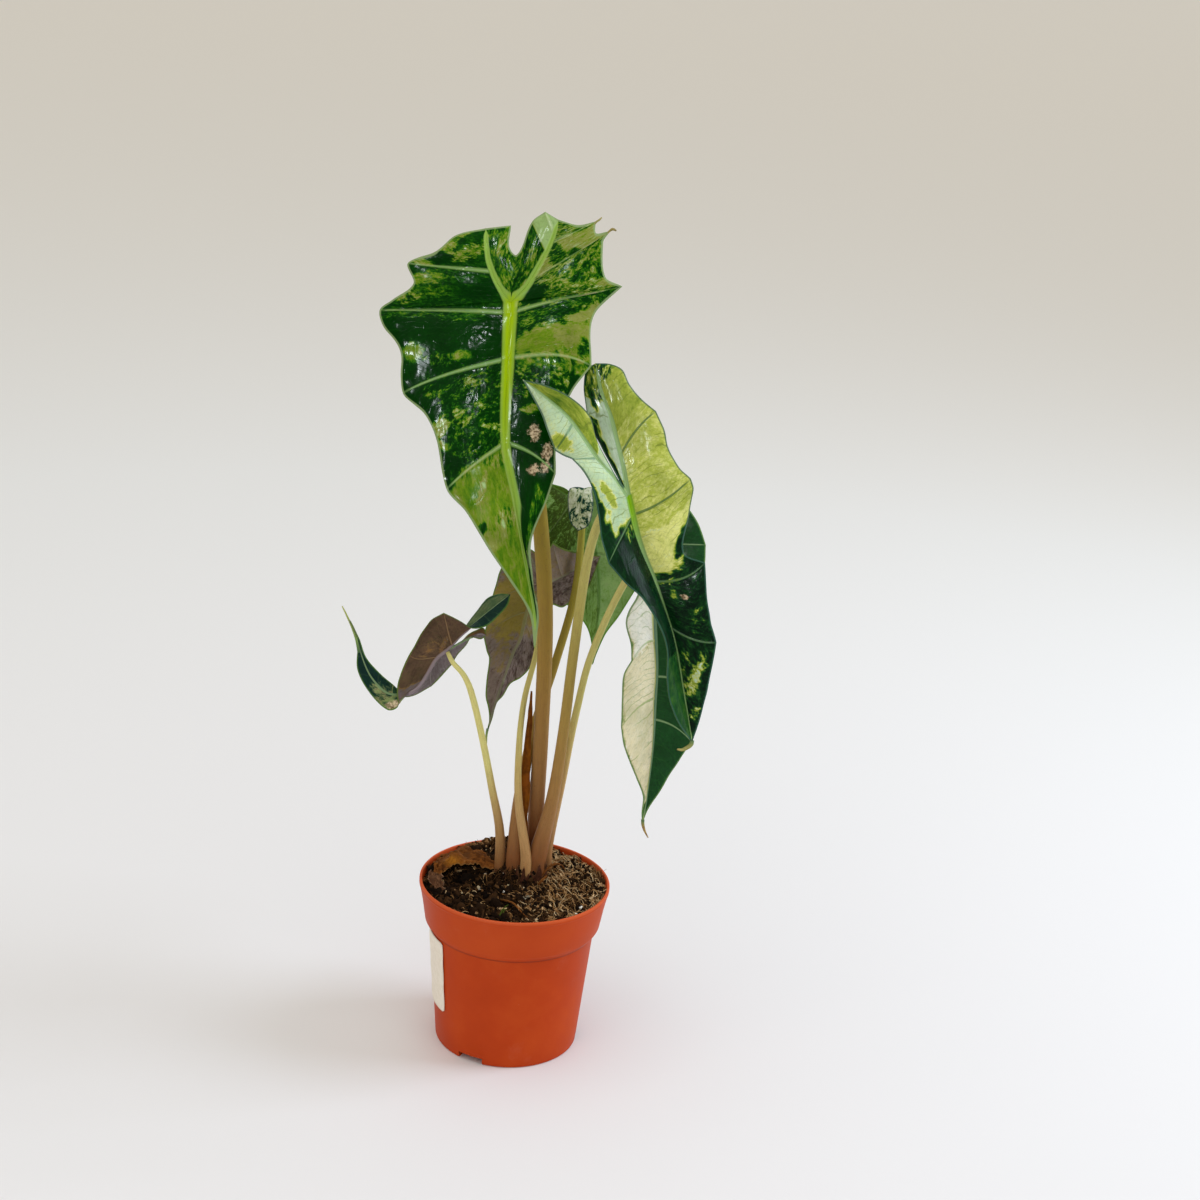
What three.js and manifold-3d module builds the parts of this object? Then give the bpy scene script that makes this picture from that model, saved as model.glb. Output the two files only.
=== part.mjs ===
// A potted variegated alocasia: six shield-shaped leaves on long stalks, in a 12 cm plastic nursery pot.
// Millimetres, +Z up. The origin is the middle of the pot's foot; -Y is the front.
import * as THREE from "three";
import { mergeVertices } from "three/addons/utils/BufferGeometryUtils.js";
import Module from "manifold-3d";

// Pot
const RIM_RADIUS = 60;
const RIM_HEIGHT = 108.5;
const BAND_BOTTOM = 82;
const BAND_RADIUS = 55.4;
const SHOULDER_HEIGHT = 77.5;
const SHOULDER_RADIUS = 51.8;
const FOOT_RADIUS = 45.2;
const WALL = 1.4;
const FOOT_RING_WIDTH = 4;
const FOOT_RECESS = 4.5;
const CENTRE_FOOT_RADIUS = 15;
const NOTCH_WIDTH = 17;
const NOTCH_ANGLES = [-116, 4, 124];
const DRAIN_COUNT = 8;
const DRAIN_RADIUS = 4;
const DRAIN_CIRCLE = 28;
const SEGMENTS = 48;

// Label on the left of the pot
const LABEL_TOP = 76.5;
const LABEL_BOTTOM = 27;
const LABEL_FRONT_ANGLE = -142;
const LABEL_BACK_ANGLE = -196;
const LABEL_THICKNESS = 0.6;

// Soil, stem base and what stands in them
const FIT_GAP = 0.4;
const SOIL_LEVEL = 105;
const SOIL_ROUGHNESS = 1.3;
const CROWN = [4, 13];
const CORM_PROFILE = [[0, 84], [7, 85], [11, 92], [14.5, 100], [15.5, 106], [14.5, 111], [10.5, 114.5], [0, 116]];

// Leaves
const BLADE_THICKNESS = 0.9;
const MIDRIB_RISE = 1.3;
const PUCKER = 1.5;
const ARCH = 0.05;
const BLADE_COLUMNS = 5;
const LOBE_COLUMNS = 3;
const STALK_SIDES = 8;
const STALK_STEP = 10;

const COLOURS = {
  pot: [0xab3f22, 0.55],
  label: [0xf0eee8, 0.8],
  soil: [0x2b2018, 1],
  corm: [0x5a4038, 0.7],
  sheath: [0x8a4a14, 0.7],
  litter: [0x6e4424, 0.8],
  petiole: [0xa08c4c, 0.5],
  leaf_a: [0x2f5a1c, 0.3],
  leaf_b: [0x7f9a3c, 0.3],
  leaf_c: [0x9aa66a, 0.35],
  leaf_e: [0x4a7a30, 0.5],
  leaf_f: [0x5a4444, 0.5],
  leaf_g: [0x635a3c, 0.5],
};

// Each leaf is laid out on its three ribs: the midrib from the stalk to the tip, and one rib out to the end of
// each rear lobe. A margin row is [place on the ribs, x, y, z] and ends in VEIN where a side vein reaches a
// pointed lobe. On left and right the place runs from -1, the lobe's end, by 0, the stalk, to 1, the leaf's
// tip; on sinus it runs along the notch between the lobes, from the left lobe's end to the right one's.
const VEIN = 1;
const LEAVES = {
  a: {
    midrib: [[-23, -2, 473], [-22, -13, 441], [-20, -28, 397], [-12, -38, 366], [-4, -47, 334], [4, -53, 301],
      [5, -55, 283]],
    leftRib: [[-23, -2, 473], [-31, -1, 483], [-37, 1, 495], [-39, 3, 504], [-40, 6, 513]],
    rightRib: [[-23, -2, 473], [-15, 0, 482], [-9, 3, 493], [-3, 7, 506], [1, 12, 520]],
    left: [
      [-1, -40, 6, 513], [-0.84, -57, 3, 508], [-0.66, -68, -1, 498], [-0.45, -83, -1, 491, VEIN],
      [-0.23, -79, -3, 480], [-0.1, -92, -2, 469], [0.03, -98, -1, 463, VEIN], [0.08, -95, -5, 455],
      [0.12, -84, -13, 443], [0.16, -80, -22, 419, VEIN], [0.24, -68, -27, 411], [0.32, -59, -33, 397],
      [0.4, -51, -44, 371, VEIN], [0.46, -39, -49, 360], [0.6, -22, -55, 337], [0.73, -8, -55, 318],
      [0.83, 1, -54, 303], [1, 5, -55, 283],
    ],
    right: [
      [-1, 1, 12, 520], [-0.85, 12, 12, 518], [-0.74, 22, 15, 520, VEIN], [-0.64, 23, 12, 514],
      [-0.44, 30, 14, 515, VEIN], [-0.33, 27, 12, 509], [-0.2, 30, 7, 490], [0.03, 40, 10, 485, VEIN],
      [0.06, 27, 3, 472], [0.11, 24, -1, 463], [0.16, 26, -9, 441, VEIN], [0.22, 16, -16, 427],
      [0.32, 9, -25, 406], [0.4, 10, -34, 382, VEIN], [0.46, 6, -39, 367], [0.56, -1, -45, 344],
      [0.67, 2, -50, 320], [0.83, 6, -53, 303], [1, 5, -55, 283],
    ],
    sinus: [
      [-1, -40, 6, 513], [-0.84, -26, 10, 515, VEIN], [-0.45, -26, 6, 504], [0, -22, 5, 499],
      [0.2, -19, 6, 504], [0.64, -14, 11, 518], [0.85, -7, 13, 524, VEIN], [1, 1, 12, 520],
    ],
  },
  b: {
    midrib: [[52, -24, 369], [60, -29, 345], [72, -35, 320], [85, -42, 289], [93, -46, 260], [101, -46, 228]],
    leftRib: [[52, -24, 369], [43, -28, 381], [34, -31, 391], [16, -36, 415], [3, -37, 426], [-12, -36, 436]],
    rightRib: [[52, -24, 369], [49, -19, 384], [44, -14, 399], [39, -10, 413], [33, -5, 425], [28, 0, 441]],
    left: [
      [-1, -12, -36, 436], [-0.8, 0, -41, 418], [-0.7, 4, -43, 409], [-0.6, 9, -43, 398, VEIN],
      [-0.47, 14, -41, 395], [-0.33, 19, -40, 393, VEIN], [-0.2, 26, -40, 386], [-0.1, 32, -41, 376],
      [0, 36, -45, 363], [0.03, 39, -50, 350], [0.07, 44, -54, 337, VEIN], [0.2, 55, -55, 326],
      [0.34, 65, -56, 318], [0.46, 75, -58, 304], [0.56, 81, -60, 290], [0.67, 82, -61, 274],
      [0.79, 85, -60, 259], [0.89, 91, -57, 245], [1, 101, -46, 228],
    ],
    right: [
      [-1, 28, 0, 441], [-0.8, 37, 1, 441], [-0.7, 44, 0, 438], [-0.59, 49, -3, 430], [-0.48, 56, -5, 423],
      [-0.31, 65, -7, 417, VEIN], [-0.25, 70, -10, 408], [-0.18, 74, -14, 397], [-0.1, 80, -16, 388],
      [0.07, 88, -18, 381, VEIN], [0.13, 90, -19, 375], [0.2, 89, -22, 363], [0.27, 87, -30, 340],
      [0.34, 100, -31, 335, VEIN], [0.4, 102, -36, 320], [0.46, 106, -41, 302], [0.52, 110, -44, 291, VEIN],
      [0.62, 109, -46, 278], [0.79, 106, -47, 254], [0.89, 104, -47, 242], [1, 101, -46, 228],
    ],
    sinus: [
      [-1, -12, -36, 436], [-0.8, 1, -37, 434], [-0.7, 15, -35, 428], [-0.6, 27, -31, 417],
      [-0.33, 32, -29, 403], [-0.2, 40, -28, 389], [0, 48, -25, 376], [0.18, 43, -18, 383],
      [0.31, 35, -11, 394], [0.48, 27, -6, 407], [0.7, 23, -3, 421], [0.8, 22, 0, 428],
      [0.9, 23, 0, 437], [1, 28, 0, 441],
    ],
  },
  c: {
    midrib: [[68, 12, 321], [73, 3, 289], [77, -2, 259], [78, -4, 237], [79, -5, 205], [78, -4, 173],
      [77, -3, 154]],
    leftRib: [[68, 12, 321], [63, 14, 333], [56, 15, 346], [49, 17, 361]],
    rightRib: [[68, 12, 321], [72, 16, 332], [78, 21, 344], [84, 26, 358]],
    left: [
      [-1, 49, 17, 361], [-0.7, 43, 6, 352], [-0.4, 44, 1, 343], [-0.13, 48, -1, 333, VEIN],
      [0.02, 56, -2, 319], [0.09, 63, -1, 305], [0.13, 58, -10, 294], [0.17, 57, -14, 288, VEIN],
      [0.24, 61, -14, 275], [0.29, 62, -16, 266], [0.34, 58, -20, 258], [0.42, 58, -22, 245],
      [0.5, 59, -24, 226, VEIN], [0.58, 61, -23, 215], [0.66, 66, -18, 201], [0.75, 71, -12, 188],
      [0.84, 76, -6, 174], [0.91, 76, -6, 163], [1, 77, -3, 154],
    ],
    right: [
      [-1, 84, 26, 358], [-0.7, 90, 23, 352], [-0.5, 97, 19, 343], [-0.25, 102, 16, 332, VEIN],
      [-0.06, 102, 12, 320], [0.06, 100, 8, 306], [0.15, 104, 4, 287, VEIN], [0.24, 103, 1, 273],
      [0.34, 102, -1, 259], [0.42, 105, -3, 243, VEIN], [0.5, 104, -4, 228], [0.58, 103, -5, 212, VEIN],
      [0.66, 97, -6, 201], [0.75, 91, -6, 189], [0.84, 86, -5, 177], [0.91, 80, -4, 165], [1, 77, -3, 154],
    ],
    sinus: [
      [-1, 49, 17, 361], [-0.7, 55, 19, 354], [-0.4, 61, 18, 341], [0, 67, 15, 329],
      [0.25, 71, 19, 340], [0.7, 77, 25, 353], [1, 84, 26, 358],
    ],
  },
  e: {
    facesBack: true,
    midrib: [[26, 62, 339], [33, 68, 318], [38, 75, 293], [40, 81, 269], [40, 85, 245], [39, 88, 224]],
    leftRib: [[26, 62, 339], [17, 68, 342], [8, 74, 345], [-1, 79, 348]],
    rightRib: [[26, 62, 339], [27, 61, 345], [26, 58, 350], [25, 52, 345], [24, 50, 335], [24, 50, 325]],
    left: [
      [-1, -1, 79, 348], [-0.77, -4, 87, 335], [-0.5, -2, 93, 320], [-0.25, 1, 98, 303, VEIN],
      [0, 6, 101, 288], [0.14, 11, 103, 273], [0.3, 16, 103, 262, VEIN], [0.47, 25, 97, 256],
      [0.6, 33, 91, 249], [0.75, 37, 88, 239], [0.88, 38, 88, 231], [1, 39, 88, 224],
    ],
    right: [
      [-1, 24, 50, 325], [-0.83, 30, 50, 329], [-0.63, 32, 50, 338], [-0.45, 32, 53, 344],
      [-0.33, 31, 58, 350], [-0.2, 36, 63, 350], [-0.1, 45, 60, 343], [0, 53, 64, 329],
      [0.14, 61, 69, 313], [0.3, 67, 75, 290, VEIN], [0.47, 61, 80, 276], [0.6, 53, 84, 259],
      [0.75, 46, 85, 247], [0.88, 41, 87, 232], [1, 39, 88, 224],
    ],
    sinus: [
      [-1, -1, 79, 348], [-0.77, 5, 76, 347], [-0.5, 14, 67, 347], [0, 21, 65, 342], [0.2, 19, 60, 346],
      [0.33, 17, 57, 350], [0.45, 16, 52, 346], [0.63, 17, 51, 338], [0.83, 19, 50, 330], [1, 24, 50, 325],
    ],
  },
  f: {
    facesBack: true,
    midrib: [[-50, 0, 258], [-56, -1, 253], [-61, -2, 243], [-65, -4, 236], [-71, -6, 231], [-77, -8, 230],
      [-83, -10, 231], [-88, -12, 235], [-95, -13, 244], [-100, -14, 256], [-104, -15, 270], [-113, -15, 287]],
    leftRib: [[-50, 0, 258], [-44, 2, 265], [-37, 5, 272], [-26, 9, 282], [-14, 14, 292]],
    rightRib: [[-50, 0, 258], [-43, 3, 262], [-36, 7, 265], [-31, 9, 267], [-27, 10, 266]],
    left: [
      [-1, -14, 14, 292], [-0.84, -15, 9, 287], [-0.68, -20, 5, 281], [-0.53, -27, 1, 275],
      [-0.39, -35, -2, 274], [-0.29, -42, -6, 279], [-0.19, -47, -10, 283], [-0.09, -52, -12, 286, VEIN],
      [0, -60, -12, 280], [0.06, -72, -7, 256, VEIN], [0.11, -76, -7, 246], [0.17, -78, -8, 238],
      [0.24, -78, -11, 232], [0.3, -77, -13, 224], [0.38, -83, -14, 222], [0.49, -94, -14, 232],
      [0.63, -102, -15, 247], [0.81, -103, -15, 267], [1, -113, -15, 287],
    ],
    right: [
      [-1, -27, 10, 266], [-0.88, -30, 8, 264], [-0.74, -34, 7, 265], [-0.54, -36, 8, 265],
      [-0.34, -39, 9, 259], [-0.19, -44, 10, 252], [0, -47, 10, 246, VEIN], [0.06, -55, 10, 235],
      [0.11, -59, 8, 231, VEIN], [0.24, -69, 3, 226], [0.3, -75, 0, 226], [0.38, -80, -5, 234],
      [0.49, -88, -10, 243], [0.63, -97, -13, 254], [0.81, -102, -15, 268], [1, -113, -15, 287],
    ],
    sinus: [
      [-1, -14, 14, 292], [-0.84, -21, 17, 291], [-0.68, -28, 16, 288], [-0.53, -34, 13, 280],
      [-0.39, -39, 9, 273], [-0.19, -42, 5, 266], [0, -47, 4, 259], [0.34, -42, 7, 262],
      [0.54, -38, 10, 266], [0.74, -34, 12, 268], [0.88, -29, 12, 270], [1, -27, 10, 266],
    ],
  },
  g: {
    facesBack: true,
    midrib: [[7, 46, 291], [-4, 51, 272], [-8, 54, 250], [-12, 55, 240], [-17, 57, 221], [-21, 57, 206],
      [-24, 56, 194], [-26, 54, 183]],
    leftRib: [[7, 46, 291], [1, 43, 298], [-4, 41, 308], [-10, 38, 316]],
    rightRib: [[7, 46, 291], [18, 54, 295], [29, 63, 300], [39, 69, 304]],
    left: [
      [-1, -10, 38, 316], [-0.78, -17, 39, 309], [-0.54, -22, 40, 300], [-0.28, -24, 40, 293],
      [-0.06, -27, 45, 277, VEIN], [0.12, -29, 48, 265], [0.22, -31, 50, 251, VEIN], [0.36, -29, 52, 241],
      [0.47, -27, 54, 235], [0.57, -28, 56, 220], [0.66, -28, 56, 209], [0.75, -26, 56, 201],
      [0.85, -25, 56, 195], [0.93, -25, 55, 189], [1, -26, 54, 183],
    ],
    right: [
      [-1, 39, 69, 304], [-0.8, 36, 70, 292], [-0.6, 32, 75, 279], [-0.35, 23, 75, 271],
      [-0.18, 17, 72, 267, VEIN], [-0.05, 10, 66, 270], [0.06, 6, 65, 263], [0.17, 5, 67, 250],
      [0.28, 2, 71, 234, VEIN], [0.4, -2, 73, 223], [0.52, -7, 69, 218], [0.62, -13, 65, 215],
      [0.71, -17, 61, 208], [0.8, -21, 59, 203], [0.89, -23, 57, 193], [1, -26, 54, 183],
    ],
    sinus: [
      [-1, -10, 38, 316], [-0.78, -4, 39, 314], [-0.4, 0, 41, 310], [0, 4, 43, 301],
      [0.18, 6, 41, 312], [0.27, 9, 40, 319, VEIN], [0.5, 15, 46, 314], [0.8, 25, 60, 308], [1, 39, 69, 304],
    ],
  },
};

// Leaf stalks, from the foot up to the underside of the blade: [x, y, z, radius].
const STALKS = {
  a: [[10, 20, 108, 5], [10, 21, 122, 4.9], [10, 21, 154, 4.4], [10, 21, 199, 4.1], [8, 21, 275, 4.1],
    [1, 18, 339, 3.9], [-12, 17, 413, 3.6], [-19, 14, 445, 3.4], [-23, 3, 469, 3.2]],
  b: [[13.5, 9, 108, 5.2], [14, 8, 126, 5.2], [20, 7, 161, 4.1], [24, 3, 207, 3.4], [27, -4, 263, 3.1],
    [32, -12, 328, 2.8], [39, -15, 356, 2.6], [50, -18, 367, 2.4]],
  c: [[19, 17, 109, 3.3], [19, 17, 125, 3.2], [25, 17, 170, 2.6], [31, 12, 219, 2.3], [38, 10, 259, 2.2],
    [55, 12, 306, 2.2], [66, 16, 319, 2]],
  e: [[-1, 8, 106, 4.8], [-1, 11, 137, 4.4], [0, 16, 163, 3.8], [5, 31, 199, 3], [15, 42, 238, 2.7],
    [24, 51, 279, 2.5], [26, 55, 307, 2.3], [26, 58, 333, 2.1]],
  f: [[-10, 12, 103, 2.9], [-12, 12, 136, 2.7], [-18, 10, 164, 2.4], [-26, 7, 200, 2.1], [-34, 3, 231, 2],
    [-39, 0, 243, 1.7], [-46, -3, 252, 1.5]],
  g: [[6, 3, 107, 3.2], [6, 3, 123, 3], [-1, 6, 160, 2.5], [-3, 13, 194, 2], [-2, 25, 220, 1.8],
    [3, 34, 247, 1.7], [7, 42, 286, 1.6]],
};

// The dried sheath in front of the tallest stalk, in rows of [left x, y, right x, y, height].
const SHEATH = [
  [2, 17.6, 2.8, 17.8, 229], [1, 16.5, 4, 16.5, 210], [0, 15.5, 4.4, 16, 190], [-1.2, 12.5, 5, 15, 171],
  [-1, 9.4, 5.6, 13, 157], [2.2, 8.3, 5, 9.8, 147], [3.8, 7.9, 6, 9, 134], [5.2, 8.8, 6.8, 9.2, 116.4],
];
const SHEATH_THICKNESS = 0.8;

// The dried scrap of leaf on the soil: rows of points [x, y, height above the soil] from its left end.
const LITTER = [
  [[-47, 4, 2.6], [-44, 0, 3.6], [-40, -2, 2.4]],
  [[-48, 18, 3.2], [-43, 15, 5], [-37, 11, 2.6]],
  [[-43, 31, 2], [-37, 26, 6], [-31, 20, 2.4]],
  [[-33, 40, 2], [-29, 34, 5.5], [-24, 27, 2.4]],
  [[-22, 44, 2], [-20, 39, 3.2], [-18, 34, 2]],
];
const LITTER_THICKNESS = 0.9;

const wasm = await Module();
wasm.setup();

// Smooth curve through rows of numbers. The last three numbers of a row are its place, and a row that is a
// corner bends the curve sharply. The curve is read at a row's index plus a fraction.
function smoothCurve(rows, isCorner = () => false) {
  const last = rows.length - 1;
  const place = rows.map((row) => new THREE.Vector3(...row.slice(-3)));
  const distance = [0];
  for (let i = 1; i <= last; i += 1) {
    distance.push(distance[i - 1] + Math.max(place[i].distanceTo(place[i - 1]), 0.001));
  }
  const slope = (k, side) => {
    let before = Math.max(k - 1, 0);
    let after = Math.min(k + 1, last);
    if (isCorner(k) && side > 0 && k < last) before = k;
    if (isCorner(k) && side < 0 && k > 0) after = k;
    return rows[k].map((_, n) => (rows[after][n] - rows[before][n]) / (distance[after] - distance[before]));
  };
  return (position) => {
    const i = Math.min(Math.floor(position), last - 1);
    const t = position - i;
    const span = distance[i + 1] - distance[i];
    const start = slope(i, 1);
    const end = slope(i + 1, -1);
    return rows[i].map((value, n) => {
      const bend = (t ** 3 - 2 * t * t + t) * start[n] + (t ** 3 - t * t) * end[n];
      return value + (3 * t * t - 2 * t ** 3) * (rows[i + 1][n] - value) + bend * span;
    });
  };
}

// A rib as a curve that is read by its share of length, from 0 at the stalk to 1 at the end.
function railOf(points) {
  const stepsPerSpan = 12;
  const curve = smoothCurve(points);
  const samples = [];
  for (let i = 0; i <= (points.length - 1) * stepsPerSpan; i += 1) {
    samples.push(new THREE.Vector3(...curve(i / stepsPerSpan)));
  }
  const lengths = [0];
  for (let i = 1; i < samples.length; i += 1) {
    lengths.push(lengths[i - 1] + samples[i].distanceTo(samples[i - 1]));
  }
  const total = lengths[lengths.length - 1];
  return (share) => {
    const wanted = share * total;
    let i = 1;
    while (i < lengths.length - 1 && lengths[i] < wanted) i += 1;
    const t = (wanted - lengths[i - 1]) / (lengths[i] - lengths[i - 1]);
    return samples[i - 1].clone().lerp(samples[i], THREE.MathUtils.clamp(t, 0, 1));
  };
}

// The margin of a strip as a curve that is read by the place of its foot on the ribs.
function marginOf(rows) {
  const curve = smoothCurve(rows.map((row) => row.slice(1, 4)), (k) => rows[k][4] === VEIN);
  return (place) => {
    let i = 0;
    while (i < rows.length - 2 && rows[i + 1][0] < place) i += 1;
    const t = (place - rows[i][0]) / (rows[i + 1][0] - rows[i][0]);
    return new THREE.Vector3(...curve(i + THREE.MathUtils.clamp(t, 0, 1)));
  };
}

// How far a place lies between the veins on each side of it, as a wave from 0 on a vein to 1 half-way.
function puckerOf(rows) {
  const veins = rows.filter((row) => row[4] === VEIN || Math.abs(row[0]) === 1).map((row) => row[0]);
  return (place) => {
    let i = 0;
    while (i < veins.length - 2 && veins[i + 1] < place) i += 1;
    return Math.abs(Math.sin((Math.PI * (place - veins[i])) / (veins[i + 1] - veins[i])));
  };
}

// The places where lines cross a blade: the feet of the given rows, each once, in order.
function placesOf(...lists) {
  const closest = 0.012;
  const sorted = lists.flat().sort((a, b) => a - b);
  return sorted.filter((place, i) => i === 0 || place - sorted[i - 1] > closest);
}

// The middle sheet of a leaf blade, with the two halves and the strip round the notch sharing their ribs.
function bladeSheet(leaf) {
  const sheet = { points: [], rise: [], rib: [], faces: [] };
  const rails = { midrib: railOf(leaf.midrib), leftRib: railOf(leaf.leftRib), rightRib: railOf(leaf.rightRib) };
  const known = new Map();
  const add = (point, rise, rib) => {
    sheet.points.push(point);
    sheet.rise.push(rise);
    sheet.rib.push(rib);
    return sheet.points.length - 1;
  };
  const ribVertex = (name, share) => {
    const key = share === 0 ? "stalk" : `${name} ${share.toFixed(4)}`;
    const thinning = name === "midrib" ? 1 - 0.75 * share : 0.8 - 0.6 * share;
    if (!known.has(key)) known.set(key, add(rails[name](share), 0, MIDRIB_RISE * thinning));
    return known.get(key);
  };
  const strip = (stations, rows, columns, flip) => {
    const margin = marginOf(rows);
    const pucker = puckerOf(rows);
    const lines = stations.map(({ name, share, place }) => {
      const foot = ribVertex(name, share);
      const start = sheet.points[foot];
      const end = margin(place);
      const width = start.distanceTo(end);
      const line = [foot];
      for (let c = 1; c <= columns; c += 1) {
        const across = c / columns;
        const crown = 4 * across * (1 - across);
        const wave = PUCKER * pucker(place) * Math.sqrt(crown) * Math.min(1, width / 25);
        const rise = wave + ARCH * width * crown;
        line.push(width < 0.5 ? foot : add(start.clone().lerp(end, across), rise, 0));
      }
      return line;
    });
    for (let i = 0; i + 1 < lines.length; i += 1) {
      for (let c = 0; c < columns; c += 1) {
        const quad = [lines[i][c], lines[i + 1][c], lines[i + 1][c + 1], lines[i][c + 1]];
        if (flip) quad.reverse();
        for (const face of [[quad[0], quad[1], quad[2]], [quad[0], quad[2], quad[3]]]) {
          if (new Set(face).size === 3) sheet.faces.push(face);
        }
      }
    }
  };
  const behind = (rows) => rows.filter((row) => row[0] < 0).map((row) => -row[0]);
  const ahead = (rows) => rows.filter((row) => row[0] > 0).map((row) => row[0]);
  const shares = {
    midrib: placesOf(ahead(leaf.left), ahead(leaf.right)),
    leftRib: placesOf(behind(leaf.left), behind(leaf.sinus)),
    rightRib: placesOf(behind(leaf.right), ahead(leaf.sinus)),
  };
  const along = (name, sign) => shares[name].map((share) => ({ name, share, place: sign * share }));
  const stalk = { name: "midrib", share: 0, place: 0 };
  const turned = Boolean(leaf.facesBack);
  const left = [...along("leftRib", -1).reverse(), stalk, ...along("midrib", 1)];
  const right = [...along("rightRib", -1).reverse(), stalk, ...along("midrib", 1)];
  const notch = [...along("leftRib", -1).reverse(), stalk, ...along("rightRib", 1)];
  strip(left, leaf.left, BLADE_COLUMNS, !turned);
  strip(right, leaf.right, BLADE_COLUMNS, turned);
  strip(notch, leaf.sinus, LOBE_COLUMNS, turned);
  return sheet;
}

// The outward direction at each point of a sheet.
function normalsOf(sheet) {
  const geometry = new THREE.BufferGeometry();
  geometry.setAttribute("position", new THREE.Float32BufferAttribute(sheet.points.flatMap((p) => p.toArray()), 3));
  geometry.setIndex(sheet.faces.flat());
  geometry.computeVertexNormals();
  const normal = geometry.getAttribute("normal");
  return sheet.points.map((_, i) => new THREE.Vector3().fromBufferAttribute(normal, i));
}

// A closed solid round a sheet: the same triangles on both faces, and a wall along the open edge.
function thicken(sheet, thickness) {
  const rise = sheet.rise ?? sheet.points.map(() => 0);
  const rib = sheet.rib ?? sheet.points.map(() => 0);
  const flatNormals = normalsOf(sheet);
  sheet.points.forEach((point, i) => point.addScaledVector(flatNormals[i], rise[i]));
  const normals = normalsOf(sheet);
  const count = sheet.points.length;
  const upper = sheet.points.map((p, i) => p.clone().addScaledVector(normals[i], thickness / 2));
  const lower = sheet.points.map((p, i) => p.clone().addScaledVector(normals[i], -thickness / 2 - rib[i]));
  const edges = new Set(sheet.faces.flatMap(([a, b, c]) => [`${a} ${b}`, `${b} ${c}`, `${c} ${a}`]));
  const faces = sheet.faces.flatMap(([a, b, c]) => [[a, b, c], [c + count, b + count, a + count]]);
  for (const edge of edges) {
    const [a, b] = edge.split(" ").map(Number);
    if (!edges.has(`${b} ${a}`)) faces.push([b, a, a + count], [b, a + count, b + count]);
  }
  return meshGeometry([...upper, ...lower], faces);
}

function meshGeometry(points, faces) {
  const geometry = new THREE.BufferGeometry();
  geometry.setAttribute("position", new THREE.Float32BufferAttribute(points.flatMap((p) => p.toArray()), 3));
  geometry.setIndex(faces.flat());
  return geometry;
}

// A grid of points as a sheet.
function gridSheet(rows) {
  const points = rows.flat();
  const columns = rows[0].length;
  const faces = [];
  for (let i = 0; i + 1 < rows.length; i += 1) {
    for (let c = 0; c + 1 < columns; c += 1) {
      const a = i * columns + c;
      faces.push([a, a + 1, a + columns + 1], [a, a + columns + 1, a + columns]);
    }
  }
  return { points, faces };
}

// A round stalk along a path of [x, y, z, radius], closed at both ends. Extra makes a hole that it stands in.
function stalk(path, extra = 0) {
  const curve = smoothCurve(path.map(([x, y, z, radius]) => [radius, x, y, z]));
  const back = new THREE.Vector3(0, 1, 0);
  const rings = [];
  let length = 0;
  for (let i = 1; i < path.length; i += 1) {
    length += new THREE.Vector3(...path[i]).distanceTo(new THREE.Vector3(...path[i - 1]));
  }
  const steps = Math.ceil(length / STALK_STEP);
  for (let i = 0; i <= steps; i += 1) {
    const position = ((path.length - 1) * i) / steps;
    const [radius, ...place] = curve(position);
    const ahead = new THREE.Vector3(...curve(Math.min(position + 0.05, path.length - 1)).slice(1));
    const behind = new THREE.Vector3(...curve(Math.max(position - 0.05, 0)).slice(1));
    const along = ahead.sub(behind).normalize();
    const depth = back.clone().addScaledVector(along, -back.dot(along)).normalize();
    const side = new THREE.Vector3().crossVectors(depth, along);
    const ring = [];
    for (let k = 0; k < STALK_SIDES; k += 1) {
      const angle = (2 * Math.PI * k) / STALK_SIDES;
      const point = new THREE.Vector3(...place);
      point.addScaledVector(side, (radius + extra) * Math.cos(angle));
      point.addScaledVector(depth, (radius + extra) * Math.sin(angle));
      if (i === 0) point.addScaledVector(along, -extra);
      ring.push(point);
    }
    rings.push(ring);
  }
  const points = rings.flat();
  const faces = [];
  for (let i = 0; i < steps; i += 1) {
    for (let k = 0; k < STALK_SIDES; k += 1) {
      const a = i * STALK_SIDES + k;
      const b = i * STALK_SIDES + ((k + 1) % STALK_SIDES);
      faces.push([a, b, b + STALK_SIDES], [a, b + STALK_SIDES, a + STALK_SIDES]);
    }
  }
  const top = steps * STALK_SIDES;
  for (let k = 1; k + 1 < STALK_SIDES; k += 1) {
    faces.push([0, k + 1, k], [top, top + k, top + k + 1]);
  }
  return meshGeometry(points, faces);
}

// A turned shape about the upright line through the given centre.
function turned(profile, segments, centre = [0, 0]) {
  const geometry = new THREE.LatheGeometry(profile.map(([r, z]) => new THREE.Vector2(r, z)), segments);
  geometry.rotateX(Math.PI / 2);
  geometry.translate(centre[0], centre[1], 0);
  return geometry;
}

function solidOf(geometry) {
  const bare = geometry.clone();
  for (const name of ["normal", "uv"]) {
    if (bare.hasAttribute(name)) bare.deleteAttribute(name);
  }
  const merged = mergeVertices(bare, 0.001);
  const triVerts = Uint32Array.from(merged.index.array);
  const vertProperties = Float32Array.from(merged.getAttribute("position").array);
  return new wasm.Manifold(new wasm.Mesh({ numProp: 3, vertProperties, triVerts }));
}

function geometryOf(solid) {
  const mesh = solid.getMesh();
  const geometry = new THREE.BufferGeometry();
  geometry.setAttribute("position", new THREE.Float32BufferAttribute(mesh.vertProperties, 3));
  geometry.setIndex(new THREE.BufferAttribute(mesh.triVerts, 1));
  return geometry;
}

// The radius of the pot's outside at a height below the band.
function bodyRadius(height) {
  return FOOT_RADIUS + ((SHOULDER_RADIUS - FOOT_RADIUS) * height) / SHOULDER_HEIGHT;
}

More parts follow.
